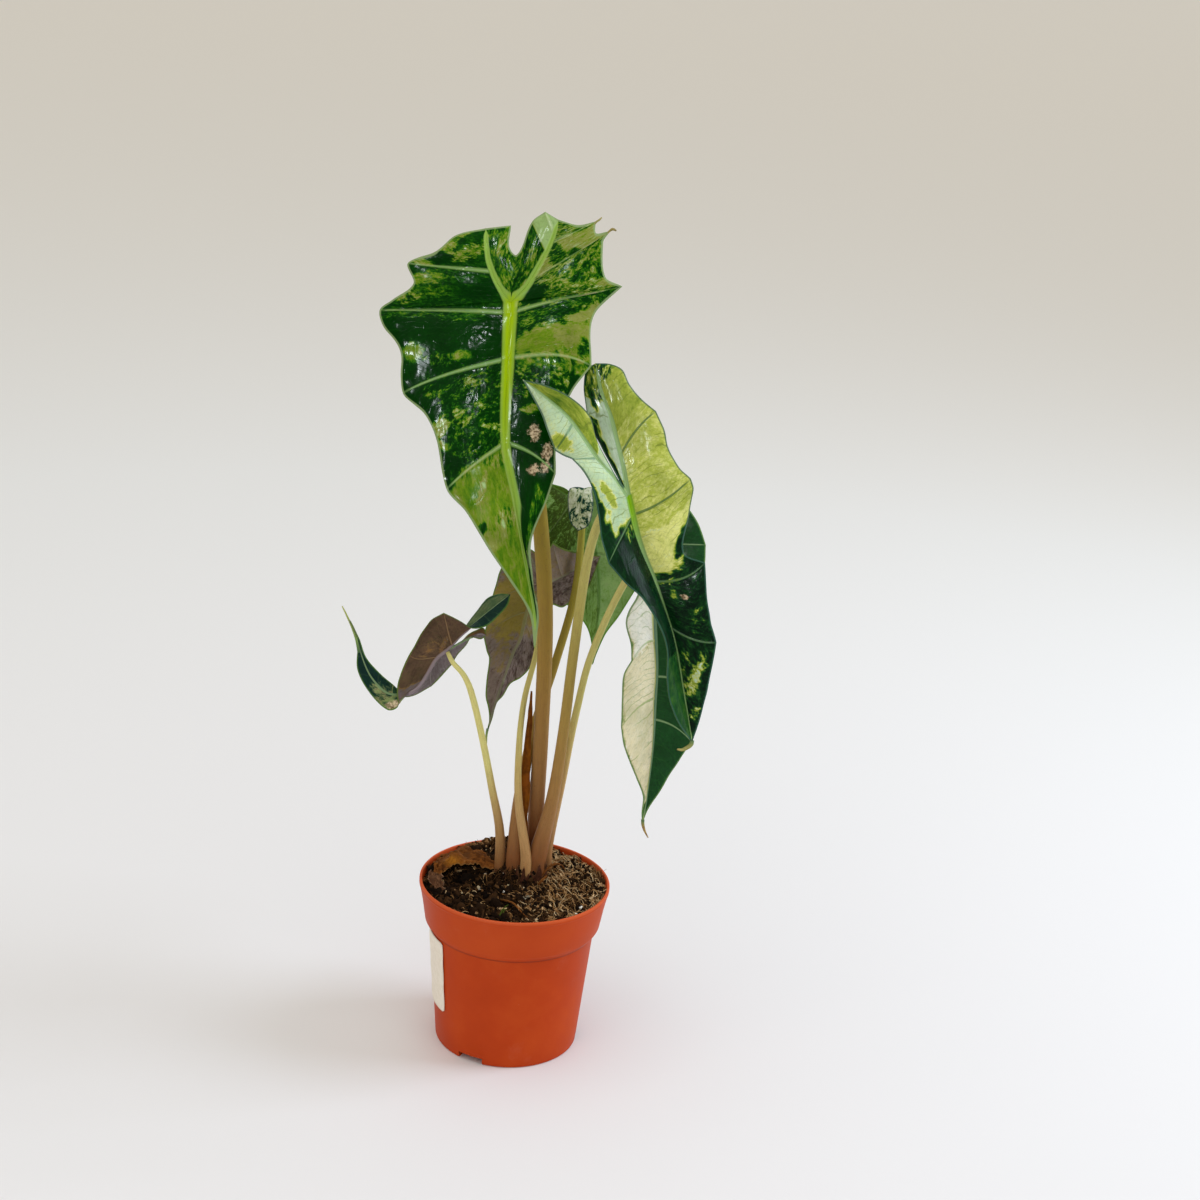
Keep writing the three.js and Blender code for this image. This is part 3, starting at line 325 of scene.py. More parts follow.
class Shader:
    """A material and short ways to add nodes to it."""

    def __init__(self, name, specular=0.5, **uniform):
        self.material = bpy.data.materials.new(name)
        self.material.use_nodes = True
        self.tree = self.material.node_tree
        self.surface = self.tree.nodes["Principled BSDF"]
        for key, value in {"Specular_IOR_Level": specular, **uniform}.items():
            self.surface.inputs[key.replace("_", " ")].default_value = value
        self.place = self.add("TexCoord").outputs["Object"]

    def put(self, socket, value):
        """Sets a node's input to another node's output, a number, a vector or a colour as six hex digits."""
        if isinstance(value, bpy.types.NodeSocket):
            self.tree.links.new(value, socket)
        else:
            socket.default_value = colour(value) if isinstance(value, str) else value

    def add(self, kind, inputs=None, **settings):
        node = self.tree.nodes.new("ShaderNode" + kind)
        for key, value in settings.items():
            setattr(node, key, value)
        for key, value in (inputs or {}).items():
            self.put(node.inputs[key], value)
        return node

    def math(self, operation, *values, clamp=False):
        node = self.add("Math", operation=operation, use_clamp=clamp)
        for i, value in enumerate(values):
            self.put(node.inputs[i], value)
        return node.outputs[0]

    def plus(self, first, second, clamp=False):
        return self.math("ADD", first, second, clamp=clamp)

    def minus(self, first, second):
        return self.math("SUBTRACT", first, second)

    def times(self, first, second):
        return self.math("MULTIPLY", first, second)

    def value(self, name):
        """A number that the mesh has at each point."""
        return self.add("Attribute", attribute_name=name).outputs["Fac"]

    def mix(self, factor, first, second, blend="MIX"):
        node = self.add("Mix", data_type="RGBA", blend_type=blend)
        for i, value in ((0, factor), (6, first), (7, second)):
            self.put(node.inputs[i], value)
        return node.outputs[2]

    def fade(self, value, low, high, first=0.0, second=1.0):
        inputs = {"Value": value, "From Min": low, "From Max": high, "To Min": first, "To Max": second}
        return self.add("MapRange", inputs, interpolation_type="SMOOTHSTEP").outputs["Result"]

    def noise(self, scale, detail=3.0, roughness=0.5, vector=None, distortion=0.0):
        inputs = {"Vector": vector or self.place, "Scale": scale, "Detail": detail, "Roughness": roughness,
                  "Distortion": distortion}
        return self.add("TexNoise", inputs).outputs["Fac"]

    def cells(self, scale):
        return self.add("TexVoronoi", {"Vector": self.place, "Scale": scale}).outputs["Distance"]

    def ramp(self, factor, stops):
        node = self.add("ValToRGB", {"Fac": factor})
        elements = node.color_ramp.elements
        elements[0].position, elements[0].color = stops[0][0], colour(stops[0][1])
        elements[1].position, elements[1].color = stops[-1][0], colour(stops[-1][1])
        for position, code in stops[1:-1]:
            elements.new(position).color = colour(code)
        return node.outputs["Color"]

    def vector(self, x, y, z):
        return self.add("CombineXYZ", {"X": x, "Y": y, "Z": z}).outputs["Vector"]

    def bump(self, height, distance, strength):
        inputs = {"Height": height, "Distance": distance, "Strength": strength}
        return self.add("Bump", inputs).outputs["Normal"]

    def finish(self, base, roughness, normal=None):
        self.put(self.surface.inputs["Base Color"], base)
        self.put(self.surface.inputs["Roughness"], roughness)
        if normal is not None:
            self.put(self.surface.inputs["Normal"], normal)
        return self.material


# --- leaf blades ------------------------------------------------------------------------------------------

def rib_shares(leaf):
    """Where the mesh lines leave each rib: at every row, and finely between rows, closest beside a vein."""
    def behind(rows):
        return [(-r[0], r) for r in rows if r[0] < 0]

    def ahead(rows):
        return [(r[0], r) for r in rows if r[0] > 0]

    shares = {}
    for name, first, second, signs in (
        ("midrib", ahead(leaf["left"]), ahead(leaf["right"]), (("left", 1), ("right", 1))),
        ("leftRib", behind(leaf["left"]), behind(leaf["sinus"]), (("left", -1), ("sinus", -1))),
        ("rightRib", behind(leaf["right"]), ahead(leaf["sinus"]), (("right", -1), ("sinus", 1))),
    ):
        marks = [0.0] + merged(p for p, _ in first + second)
        veins = [p for p, row in first + second if len(row) > 4]
        found = []
        for low, high in zip(marks, marks[1:]):
            longest = 0
            for strip, sign in signs:
                margin = margin_of(leaf[strip])(sign * np.linspace(low, high, 5))
                longest = max(longest, np.linalg.norm(np.diff(margin, axis=0), axis=1).sum())
            count = max(2, math.ceil(longest / MESH_STEP))
            t = np.linspace(0, 1, count + 1)[1:]
            if min([abs(low - v) for v in veins] + [abs(high - v) for v in veins] + [1]) < SAME_VEIN:
                t = t - 0.6 * np.sin(2 * math.pi * t) / (2 * math.pi)
            found.extend(low + (high - low) * t)
        shares[name] = np.array(found)
    return shares


# How far the side veins bow, as shares of the rib, before and after the stalk's join.
BOWS = {
    "a": {"left": (0, -0.004), "right": (0.004, -0.012)},
    "b": {"left": (0, -0.006), "right": (-0.03, 0.02)},
    "c": {"left": (0, -0.022), "right": (0, -0.02)},
    "e": {"left": (0, -0.02), "right": (0, -0.02)},
    "f": {"left": (0, 0.02), "right": (0, 0.01)},
    "g": {"left": (0, -0.02), "right": (0, -0.02)},
}


# How far a point on a rib counts as being from a side vein and from the margin, and how wide its strip is.
NO_VEIN, INLAND, BROAD = 99, 30, 60


def blade_grid(letter):
    """The middle sheet of a blade with, at each point, what the shader and the thickness need."""
    leaf = LEAVES[letter]
    rails = {name: rail_of(leaf[name]) for name in RIBS}
    shares = rib_shares(leaf)
    keys = ("across", "veined", "edge", "rib", "along", "phase", "strip", "place", "rise", "size")

    def on_rib(place):
        return [0, NO_VEIN, INLAND, 0, 0, 0, 0, place, 0, BROAD]

    points, values, faces, ids = [rails["midrib"](0.0)[0]], [on_rib(0)], [], {}
    for name in RIBS:
        ids[name] = np.arange(len(points), len(points) + len(shares[name]))
        points.extend(rails[name](shares[name]))
        values.extend(on_rib(share if name == "midrib" else -share) for share in shares[name])
    for number, (strip, first, second) in enumerate(STRIPS):
        flip = leaf.get("facesBack", False) != (strip == "left")
        margin = margin_of(leaf[strip])
        places = np.concatenate([-shares[first][::-1], [0], shares[second]])
        feet = np.concatenate([ids[first][::-1], [0], ids[second]]).astype(int)
        start = np.array([points[i] for i in feet])
        end = margin(places)
        width = np.linalg.norm(end - start, axis=1)
        columns = max(8, math.ceil(width.max() / (MESH_STEP * 1.1)))
        t = np.linspace(0, 1, columns + 1)
        across = t - 0.55 * np.sin(2 * math.pi * t) / (2 * math.pi)
        before, after = BOWS[letter].get(strip, (0, 0))
        bow = np.where(places < 0, before, after) * smooth_step(np.abs(places), 0, 0.08)
        bow = bow * smooth_step(1 - np.abs(places), 0, 0.25)
        grid = np.empty((len(places), columns + 1, 3))
        for c, share in enumerate(across):
            bent = places + bow * 4 * share * (1 - share)
            foot = np.where((bent < 0)[:, None], rails[first](-np.minimum(bent, 0)),
                            rails[second](np.maximum(bent, 0)))
            grid[:, c] = foot * (1 - share) + margin(bent) * share
        grid[:, 0], grid[:, -1] = start, end
        ends = [row[0] for row in leaf[strip] if len(row) > 4 and row[4] != CORNER]
        marks = sorted({-1, 1, *ends})
        index = np.interp(places, marks, np.arange(len(marks)))
        pucker = np.abs(np.sin(math.pi * index))
        crown = 4 * across * (1 - across)
        swell = np.sqrt(crown)[None] * (np.minimum(1, width / 25) * pucker)[:, None]
        rise = PUCKER * swell + ARCH * width[:, None] * crown[None]
        veined = np.full(grid.shape[:2], float(NO_VEIN))
        for mark in ends:
            k = int(np.argmin(np.abs(places - mark)))
            veined = np.minimum(veined, np.linalg.norm(grid - grid[k][None], axis=2))
        rib_way, edge_way = unit(np.gradient(start, axis=0)), unit(np.gradient(end, axis=0))
        out = (end - start) / np.maximum(width, 1e-6)[:, None]
        lean = np.sqrt(np.maximum(1 - (out * rib_way).sum(1) ** 2, 0.05))
        slant = np.sqrt(np.maximum(1 - (out * edge_way).sum(1) ** 2, 0.05))
        rib = width[:, None] * across[None] * lean[:, None]
        edge = width[:, None] * (1 - across)[None] * slant[:, None]
        line_ids = np.zeros(grid.shape[:2], int)
        line_ids[:, 0] = feet
        for i in range(len(places)):
            if width[i] < 0.5:
                line_ids[i, :] = feet[i]
                continue
            line_ids[i, 1:] = np.arange(len(points), len(points) + columns)
            points.extend(grid[i, 1:])
            values.extend([across[c], veined[i, c], edge[i, c], rib[i, c], across[c] * width[i], index[i],
                           number, places[i], rise[i, c], width[i]] for c in range(1, columns + 1))
        for i in range(len(places) - 1):
            for c in range(columns):
                face = [line_ids[i, c], line_ids[i + 1, c], line_ids[i + 1, c + 1], line_ids[i, c + 1]]
                face = [a for k, a in enumerate(face) if a != face[k - 1]]
                if len(face) > 2:
                    faces.append(face[::-1] if flip else face)
    return np.array(points), faces, dict(zip(keys, np.array(values, float).T))


# What is painted on each strip of a blade. A patch is [from place, to place, from across, to across, tone,
# mottling], without the third and fourth where it spans the whole width. A spot is [x, z, half length, half
# height, turn in degrees, tone, mottling] as seen from the front. Tone 0 is the darkest green and 1 the palest,
# and DRY is tissue that has died. A later mark lies over an earlier one.
DRY = 9
PAINT = {
    "a": {
        # On the left strip, the patch of tone 0.52 along the top margin beyond place -0.45 and the spot at x
        # -48, z 500 are painted sheen: dark lobe tissue shown olive-grey where light glances off it.
        "left": [[-2, 2, 0.06, 0.15], [-2, -0.45, 0.22, 0.3], [-2, -0.45, 0.72, 2, 0.52, 0.6],
            [-48, 500, 16, 4, 22, 0.5, 0.7], [-65, 496, 10, 4, -5, 0.0, 0.1], [-0.45, 0.03, 0.2, 0.4],
            [-71, 484, 13, 4, 8, 0.46, 0.45], [-81, 474, 9, 4, 20, 0.46, 1.0], [-69, 477, 11, 4, 0, 0.34, 0.6],
            [-40, 479, 12, 6, 10, 0.0, 0.1], [0.03, 0.06, 0.2, 2, 0.24, 0.6], [-76, 443, 7, 6.5, 0, 0.49, 0.25],
            [-50, 443, 9, 3.4, 8, 0.47, 0.5], [-62, 440, 9, 4, 0, 0.26, 1.2], [0.16, 0.4, -1, 0.84, 0.17, 1.0],
            [-42, 429, 4.5, 2.6, -20, 0.6, 1.2], [-33, 417, 7, 1.6, 0, 0.5, 1.3],
            [-28, 406, 7, 2, -5, 0.52, 1.3], [-45, 410, 6, 4, -20, 0.44, 0.9], [-57, 404, 5, 6, -30, 0.68, 0.7],
            [-54, 394, 5, 2.6, -20, 0.48, 0.6], [-48, 385, 5, 4, 30, 0, 0.05], [0.4, 2, 0.5, 0.22],
            [-31, 373, 1.8, 11, -12, 0.68, 0.6], [-17, 357, 5, 6, -50, 0.6, 0.8],
            [-22, 345, 6, 9, -30, 0.6, 0.25], [-26, 388, 9, 4, 0, 0.45, 0.7],
            [-29, 352, 2.4, 4, -30, 0.05, 0.6]],
        "right": [[-2, 2, 0.05, 0.2], [-2, -0.62, 0.4, 1.0], [-0.72, -0.3, 0.62, 0.35],
            [2, 501, 6, 8, 40, 0.24, 0.9], [12, 503, 5, 3, 10, 0.1, 0.6], [-0.3, 0.03, 0.4, 1.0],
            [-11, 478, 9, 8, 20, 0.03, 0.15], [32, 488, 9, 3, 10, 0.62, 0.3], [0.03, 0.09, 0.26, 0.95],
            [0.095, 0.16, 0.14, 2, 0.58, 0.2], [22, 470, 14, 5, 20, 0.63, 0.2],
            [0.11, 0.16, 0.1, 0.55, 0.52, 0.15], [14, 471, 8, 1.6, 15, 0.1, 0.5], [21, 451, 4, 6, 0, 0.28, 0.8],
            [0.16, 0.19, 0.1, 2, 0.42, 0.5], [0.19, 0.27, 0.1, 0.9, 0.26, 1.15],
            [-8, 417, 6, 3.5, 20, 0.54, 0.6], [-4, 404, 5, 6, 0, DRY, 0], [4, 394, 4, 7, -10, DRY, 0],
            [-2, 384, 6, 4, 0, DRY, 0], [4, 386, 4, 4, 0, DRY, 0], [0.46, 0.8, 0.72, 2, 0.24, 0.9]],
        "sinus": [[-2, 0, 0.36, 0.8], [0, 0.6, 0.3, 0.95], [0.62, 2, 0.78, 0.05]],
    },
    "b": {
        "left": [[-2, 2, 0.08, 0.25], [-2, 0.06, 0.9, 0.12], [12, 403, 8, 4.2, -38, 0.6, 0.05],
            [41, 373, 2.4, 9, 33, 0.62, 0.05], [-0.14, -0.04, 0.94, 2, 0.2, 0.2],
            [-0.04, 0.02, 0.84, 2, 0.12, 0.2], [0.01, 0.09, 0.7, 2, 0.12, 0.2],
            # The last left mark, from place 0.6 to the point, is painted sheen: the turned-down margin shown a
            # lighter grey-green.
            [0.075, 0.13, -1, 0.4, 0.36, 1.3], [0.6, 2, 0.32, 0.2]],
        "right": [[-2, 2, 0.72, 0.16], [-2, -0.45, 0.64, 0.2], [27, 439, 9, 9, 0, 0.34, 1.2],
            [0.16, 0.32, 0.78, 0.1], [85.5, 346, 3, 13, -13, 0.1, 0.6], [0.305, 2, 0.1, 0.6],
            [94, 334, 8, 6, 0, 0.08, 0.3], [82, 323, 7, 2.4, 10, 0.34, 1.3], [83, 317, 1.6, 2.6, 0, 0.55, 0.4],
            [89, 316, 3.4, 2, -20, DRY, 0], [98, 305, 4, 10, 0, 0.2, 1.0], [92, 276, 3.5, 10, 0, 0.3, 1.2],
            [99, 270, 5, 15, -20, 0.74, 1.1], [94, 262, 5, 6, -20, 0.7, 1.2], [101, 247, 3, 6, -15, 0.5, 1.1]],
        # The palest sinus mark, from place 0.1 to the end, is a painted reflection: the glossy strip inside the
        # fold shown bluish white.
        "sinus": [[-2, -0.33, 0.58, 0.3], [-0.33, 0.1, 0.9, 0.2], [0.1, 2, 0.96, 0.12],
            [0, 0.55, 0.62, 2, 0.08, 0.9], [29, 419, 1.5, 5, 20, 0.2, 0.6], [0.7, 2, 0.5, 1.3]],
    },
    "c": {
        "left": [[-2, -0.1, 0.2, 0.3], [-0.1, 0.3, 0.97, 0.06], [0.3, 0.9, 0.84, 0.1], [0.9, 2, 0.3, 0.3],
            [0.2, 0.9, 0.95, 2, 0.5, 0.4]],
        "right": [[-2, 2, 0.15, 0.2]],
        "sinus": [[-2, 2, 0.2, 0.3]],
    },
    "e": {
        "left": [[-2, 2, 0.2, 0.25], [-2, 0.1, 0.05, 0.5], [-2, -0.5, 0.5, 2, 0.24, 0.3]],
        "right": [[-2, 2, 0.3, 0.25], [-2, -0.3, 0.58, 1.1], [27, 338, 2.4, 8, 10, 0.45, 1.3]],
        "sinus": [[-2, 2, 0.1, 0.3], [0.35, 2, 0.58, 1.1], [20, 333, 2.6, 7, 0, 0.45, 1.3]],
    },
    "f": {
        "left": [[-2, 2, 0.2, 0.25], [-60, 260, 8, 4, 50, 0.42, 0.6], [-52, 262, 1.6, 6, -20, 0.5, 0.6],
            [0.2, 0.42, 0.7, 0.3], [0.45, 2, 0.1, 0.2], [0.4, 0.52, 0.4, 0.7], [-80, 225, 6, 3, 0, DRY, 0],
            [0.8, 2, 0.62, 0.1]],
        "right": [[-2, 2, 0.85, 0.3], [0.4, 2, 0.1, 0.2], [0.4, 0.5, 0.3, 0.7], [0.8, 2, 0.62, 0.1]],
        # The sinus tone of 0.43 is partly the lobe's own grey-green and partly painted sheen that lightens it.
        "sinus": [[-2, 2, 0.43, 0.12], [-2, 2, 0.8, 2, 0.3, 0.2]],
    },
    "g": {
        "left": [[-2, 2, 0.85, 0.25], [-16, 272, 18, 30, 0, 0.2, 0.35], [-20, 236, 8, 12, 0, 0.55, 0.5]],
        "right": [[-2, 2, 0.92, 0.3], [2, 262, 10, 16, 0, 0.35, 0.4]],
        "sinus": [[-2, 2, 0.6, 0.3]],
    },
}


def painted(letter, data, points):
    """Tone, mottling and deadness at each point of a blade."""
    x, z = points[:, 0], points[:, 2]
    frayed = 0.5 * lattice_noise(x, z, 6.0, 3) + 0.5 * lattice_noise(x, z, 2.6, 4)
    place, across = data["place"] + 0.018 * frayed, data["across"] + 0.05 * lattice_noise(z, x, 5.0, 9)
    tone, mottle, dry = np.full(len(x), 0.15), np.full(len(x), 0.2), np.zeros(len(x))

    def beyond(value, limit, soft):
        return smooth_step(value, limit - soft, limit + soft)

    marks = [(n, *mark) for n, (strip, _, _) in enumerate(STRIPS) for mark in PAINT[letter][strip]]
    for number, *mark, new_tone, new_mottle in marks:
        if len(mark) < 5:
            low, high, near, far = mark if len(mark) == 4 else (*mark, -1, 2)
            inside = beyond(place, low, 0.01) * (1 - beyond(place, high, 0.01))
            inside = inside * beyond(across, near, 0.05) * (1 - beyond(across, far, 0.05))
        else:
            middle_x, middle_z, long, high, turn = mark
            cos, sin = math.cos(math.radians(turn)), math.sin(math.radians(turn))
            u = ((x - middle_x) * cos + (z - middle_z) * sin) / long
            v = ((z - middle_z) * cos - (x - middle_x) * sin) / high
            inside = 1 - smooth_step(np.hypot(u, v) + (0.2 + 0.5 * min(new_mottle, 0.4)) * frayed, 0.6, 1.15)
        inside = inside * (data["strip"] == number)
        if new_tone == DRY:
            dry = np.maximum(dry, 1 - np.clip(np.hypot(u, v) / 1.6, 0, 1))
            continue
        border = 4 * inside * (1 - inside) * np.minimum(4 * np.abs(new_tone - tone), 1)
        tone += (new_tone - tone) * inside
        mottle += (new_mottle - mottle) * inside + 0.5 * border
    return tone, np.minimum(mottle, 1.3), dry


def leaf_side(name, tones, veins, rib, rib_tip, edge, reach=(0.9, 0.4), rib_span=(0.4, 1.2), rim=0.9,
              roughness=0.27, specular=0.04, fine="66762a", shown=1.0, net_shown=1.0, pores=0.3, other_rib=None,
              vein_highlight_share=0.2):
    """One side of a blade: painted tissue broken up along the side veins, all veins, the ribs and the rim.

    Tones and veins are the colours of the tissue and of its side veins from tone 0 to 1. Reach is how wide a
    side vein is at its rib and at the margin. A rib has the colour rib_tip at the first width of rib_span, and
    rib at the second.
    """
    s = Shader(name, specular, Subsurface_Weight=0.06, Subsurface_Scale=0.003)
    s.surface.inputs["Subsurface Radius"].default_value = (0.6, 1.0, 0.3)
    along, phase, across, veined = s.value("along"), s.value("phase"), s.value("across"), s.value("veined")

    def flow(long, wide):
        """Places for noise that runs along the side veins."""
        return s.vector(s.times(along, long), s.times(phase, wide), s.value("strip"))

    broken = s.plus(s.times(s.noise(3.1, 7.0, 0.65, flow(0.05, 3.2), 0.5), 0.58),
                    s.times(s.noise(3.0, 4.0, 0.65, flow(0.16, 9.0), 0.3), 0.42))
    spread = s.times(s.minus(broken, 0.5), s.times(s.value("mottle"), 3.4))
    tone = s.plus(s.value("tone"), spread, clamp=True)
    base = s.ramp(tone, tones)
    base = s.mix(s.fade(s.noise(45, 4.0, 0.6), 0.35, 0.7, 0.0, 0.55), base, "bcc4b4", "MULTIPLY")
    base = s.mix(s.fade(s.noise(650, 3.0, 0.7), 0.5, 0.75, 0.0, 0.35), base, "8a9a80", "MULTIPLY")
    pale = s.fade(tone, 0.5, 0.62)
    # Finer veins run beside the side veins, and shorter ones cross them.
    wobble = s.times(s.minus(s.noise(55, 3.0, 0.6), 0.5), 1.8)
    beside = s.math("PINGPONG", s.plus(s.times(phase, 9.0), wobble), 0.5)
    beside = s.times(s.fade(beside, 0.0, 0.09, 1.0, 0.0), s.fade(s.noise(80, 2.0), 0.4, 0.58))
    slanted = s.minus(s.times(along, 0.26), s.times(veined, 0.3))
    crossing = s.math("PINGPONG", s.plus(slanted, s.times(wobble, 1.4)), 0.5)
    width = s.value("ribbed")
    ratio = s.math("DIVIDE", s.value("rib"), width)
    clear = s.fade(ratio, 0.95, 1.25)
    net = s.times(s.math("MAXIMUM", beside, s.fade(crossing, 0.0, 0.06, 0.5, 0.0)), clear)
    base = s.mix(s.times(net, s.fade(pale, 0.0, 1.0, 0.2 * net_shown, 0.5 * net_shown)), base,
                 s.mix(pale, tones[2][1], fine))
    dry = s.times(s.value("dry"), s.times(s.noise(380, 4.0, 0.65), 2.0))
    dead = s.mix(s.fade(s.noise(700, 3.0), 0.35, 0.62), "6e5840", "dac4a4")
    base = s.mix(s.fade(dry, 0.47, 0.7, 0.0, 0.9), base, dead)
    reached = s.math("DIVIDE", veined, s.fade(across, 0.0, 1.0, *reach))
    side = s.times(s.fade(reached, 0.45, 1.25, 0.92, 0.0), s.fade(across, 0.85, 1.0, 1.0, 0.25))
    side = s.times(side, clear)
    vein = s.ramp(tone, veins)
    # Painted highlight: along the middle of each side vein the colour is lightened towards near white, as light
    # catching the raised crest.
    vein_highlight = s.mix(vein_highlight_share, vein, "e6ecd0")
    vein = s.mix(s.fade(reached, 0.0, 0.5, 0.9, 0.0), vein, vein_highlight)
    base = s.mix(s.times(side, shown), base, vein)
    middle = s.mix(s.fade(width, *rib_span), rib_tip, rib)
    if other_rib:
        middle = s.mix(s.value("strip"), middle, other_rib)
    outer = s.mix(0.5, middle, s.ramp(tone, veins))
    middle = s.mix(s.fade(ratio, 0.35, 0.95), middle, outer)
    base = s.mix(s.fade(ratio, 0.85, 1.2, shown, 0.0), base, middle)
    base = s.mix(s.fade(s.value("edge"), rim * 0.5, rim, 0.85, 0.0), base, edge)
    height = s.minus(s.times(side, 0.5), s.times(net, 0.12))
    height = s.plus(height, s.times(s.noise(260, 4.0, 0.6), pores))
    quilt = s.times(s.minus(s.noise(3.0, 1.0, 0.4, flow(0.09, 2.6)), 0.5), clear)
    height = s.plus(height, s.times(quilt, 0.6))
    rough = s.fade(s.noise(120, 3.0), 0.3, 0.8, roughness - 0.04, roughness + 0.1)
    return s.finish(base, rough, s.bump(height, 0.0006, 0.7))


def add_blade(letter, upper, lower, slot, rib_width, vein_width):
    points, faces, data = blade_grid(letter)
    points = points + face_normals(points, faces) * data["rise"][:, None]
    normals = face_normals(points, faces)
    # Small waves of the margin.
    loose = smooth_step(data["across"], 0.6, 1) * np.minimum(data["size"] / 40, 1)
    wave = lattice_noise(points[:, 0] - points[:, 1], points[:, 2], 9.0, 17)
    points = points + normals * (0.7 * loose * wave)[:, None]
    normals = face_normals(points, faces)
    share = np.abs(data["place"])
    basal = 0.52 - 0.2 * share + 0.26 * np.exp(-(share / 0.1) ** 2)
    basal = basal * (1 - 0.9 * smooth_step(share, 0.88, 1))
    on_midrib = (data["place"] >= 0) & (data["strip"] < 2)
    width = rib_width * np.where(on_midrib, 1 - 0.72 * share, basal)
    bulge = np.exp(-(data["rib"] / np.maximum(width, 0.3)) ** 2)
    vein_bulge = np.exp(-(data["veined"] / (vein_width * (1 - 0.5 * data["across"]))) ** 2)
    vein_bulge = vein_bulge * (1 - data["across"]) ** 0.5
    thin = np.maximum(0.35 + 0.65 * smooth_step(data["edge"], 0, 2.5), bulge)
    up = BLADE_HALF * thin + 0.45 * bulge * width / rib_width + 0.3 * vein_bulge
    down = BLADE_HALF * thin + MIDRIB_RISE * bulge * width / rib_width + 0.4 * vein_bulge
    tone, mottle, dry = painted(letter, data, points)
    both, all_faces = closed_sheet(points, normals, faces, up[:, None], down[:, None])
    sides = [0] * len(faces) + [1] * (len(all_faces) - len(faces))
    data.update(tone=tone, mottle=mottle, dry=dry, ribbed=width)
    kept = ("across", "veined", "edge", "rib", "along", "phase", "strip", "tone", "mottle", "dry", "ribbed")
    values = {key: np.concatenate([data[key]] * 2) for key in kept}
    add_piece(f"blade_{letter}", both, all_faces, [upper, lower], slot, f"leaf_{letter}", sides, values)


upper_a = leaf_side(
    "leaf_upper_a",
    [(0.0, "022f03"), (0.2, "083b05"), (0.27, "185008"), (0.36, "2c690c"), (0.42, "4c7a10"), (0.52, "72901c"),
     (0.57, "86913c"), (0.69, "969a54"), (0.74, "98b470"), (0.86, "abc886"), (1.0, "b8cf98")],
    [(0.0, "6c9a50"), (0.45, "86a254"), (0.6, "a0a464"), (0.8, "b0ca90")], "9cbc08", "90b44c", "8a9f70",
    (1.6, 0.8), (2.2, 3.4), 1.3, 0.13, 0.035, pores=0.04)
upper_b = leaf_side(
    "leaf_upper_b",
    [(0.0, "081d12"), (0.15, "0c3016"), (0.3, "1c4c22"), (0.42, "3e6a24"), (0.5, "6c8a2a"), (0.58, "94a53a"),
     (0.7, "b2bc50"), (0.8, "e0e28c"), (0.86, "c4d6a4"), (0.93, "b8d2b0"), (1.0, "cfe2d0")],
    [(0.0, "4a7050"), (0.4, "5c7c34"), (0.6, "48682a"), (0.82, "58763c"), (0.95, "8fb395")], "8cbc1c", "98b87c",
    "34564a", (1.0, 0.6), (2.3, 2.75), 1.1, 0.15, 0.05, net_shown=1.3, pores=0.08,
    vein_highlight_share=0.06)
upper_c = leaf_side(
    "leaf_upper_c",
    [(0.0, "12391a"), (0.2, "1b4a22"), (0.35, "2f6228"), (0.5, "8ea064"), (0.65, "c4be8e"), (0.8, "e4d9b0"),
     (0.9, "eee6cc"), (1.0, "f6f3e8")],
    [(0.0, "6a8f66"), (0.5, "7d9a52"), (0.85, "a2b070"), (1.0, "c4cca4")], "c6c67c", "b0bc78", "5f8048",
    (0.9, 0.45), (0.4, 1.0), 1.0, 0.3, 0.08, fine="8ea05c", net_shown=1.4, other_rib="6f9080")
upper_e = leaf_side(
    "leaf_upper_e",
    [(0.0, "122e28"), (0.3, "1e4238"), (0.42, "3c6650"), (0.5, "b0b88c"), (0.7, "d4d9c0"), (1.0, "e8eadc")],
    [(0.0, "486c50"), (0.6, "c0c8a4")], "c6cca8", "b8c496", "24403e", (0.5, 0.3), roughness=0.35, shown=0.6)
upper_young = leaf_side(
    "leaf_upper_young",
    [(0.0, "12292a"), (0.25, "1b3830"), (0.4, "526848"), (0.46, "707c56"), (0.5, "8a8460"), (0.62, "98a66a"),
     (0.8, "2c4a38"), (1.0, "38563e")],
    [(0.0, "6c8468"), (1.0, "6f8a6a")], "7c9a60", "7c9468", "4f7034", roughness=0.32, fine="3c5a40")
lower_old = leaf_side(
    "leaf_lower_old",
    [(0.0, "42552f"), (0.25, "4f6335"), (0.45, "667a44"), (0.58, "8d9456"), (0.75, "a5a66c"), (0.9, "b9bf94"),
     (1.0, "cbcdb0")],
    [(0.0, "7d8c54"), (0.6, "9a9c5e"), (1.0, "b4b98c")], "a0aa58", "8f9a62", "6f7f50", (1.2, 0.6),
    roughness=0.5, fine="74804a", shown=0.85)
lower_green = leaf_side(
    "leaf_lower_green",
    [(0.0, "3e510c"), (0.12, "527022"), (0.2, "7aa250"), (0.3, "94b872"), (0.45, "9ab678"), (0.55, "c6ceaa"),
     (1.0, "dce0cc")],
    [(0.0, "5a7430"), (0.3, "67924a"), (1.0, "9ab078")], "5f8a40", "5f8a40", "5c8a34", (0.7, 0.35),
    roughness=0.48, fine="56803a", shown=0.6)
lower_purple = leaf_side(
    "leaf_lower_purple",
    [(0.0, "40302a"), (0.2, "624c3c"), (0.38, "6e5640"), (0.5, "8e683e"), (0.6, "786250"), (0.75, "74666a"),
     (0.9, "84787e"), (1.0, "989098")],
    [(0.0, "8a6640"), (0.45, "8a6640"), (0.8, "8c7e86")], "9d8f96", "948890", "5f7430", (0.5, 0.3),
    roughness=0.42, fine="5c4a4c", shown=0.75)
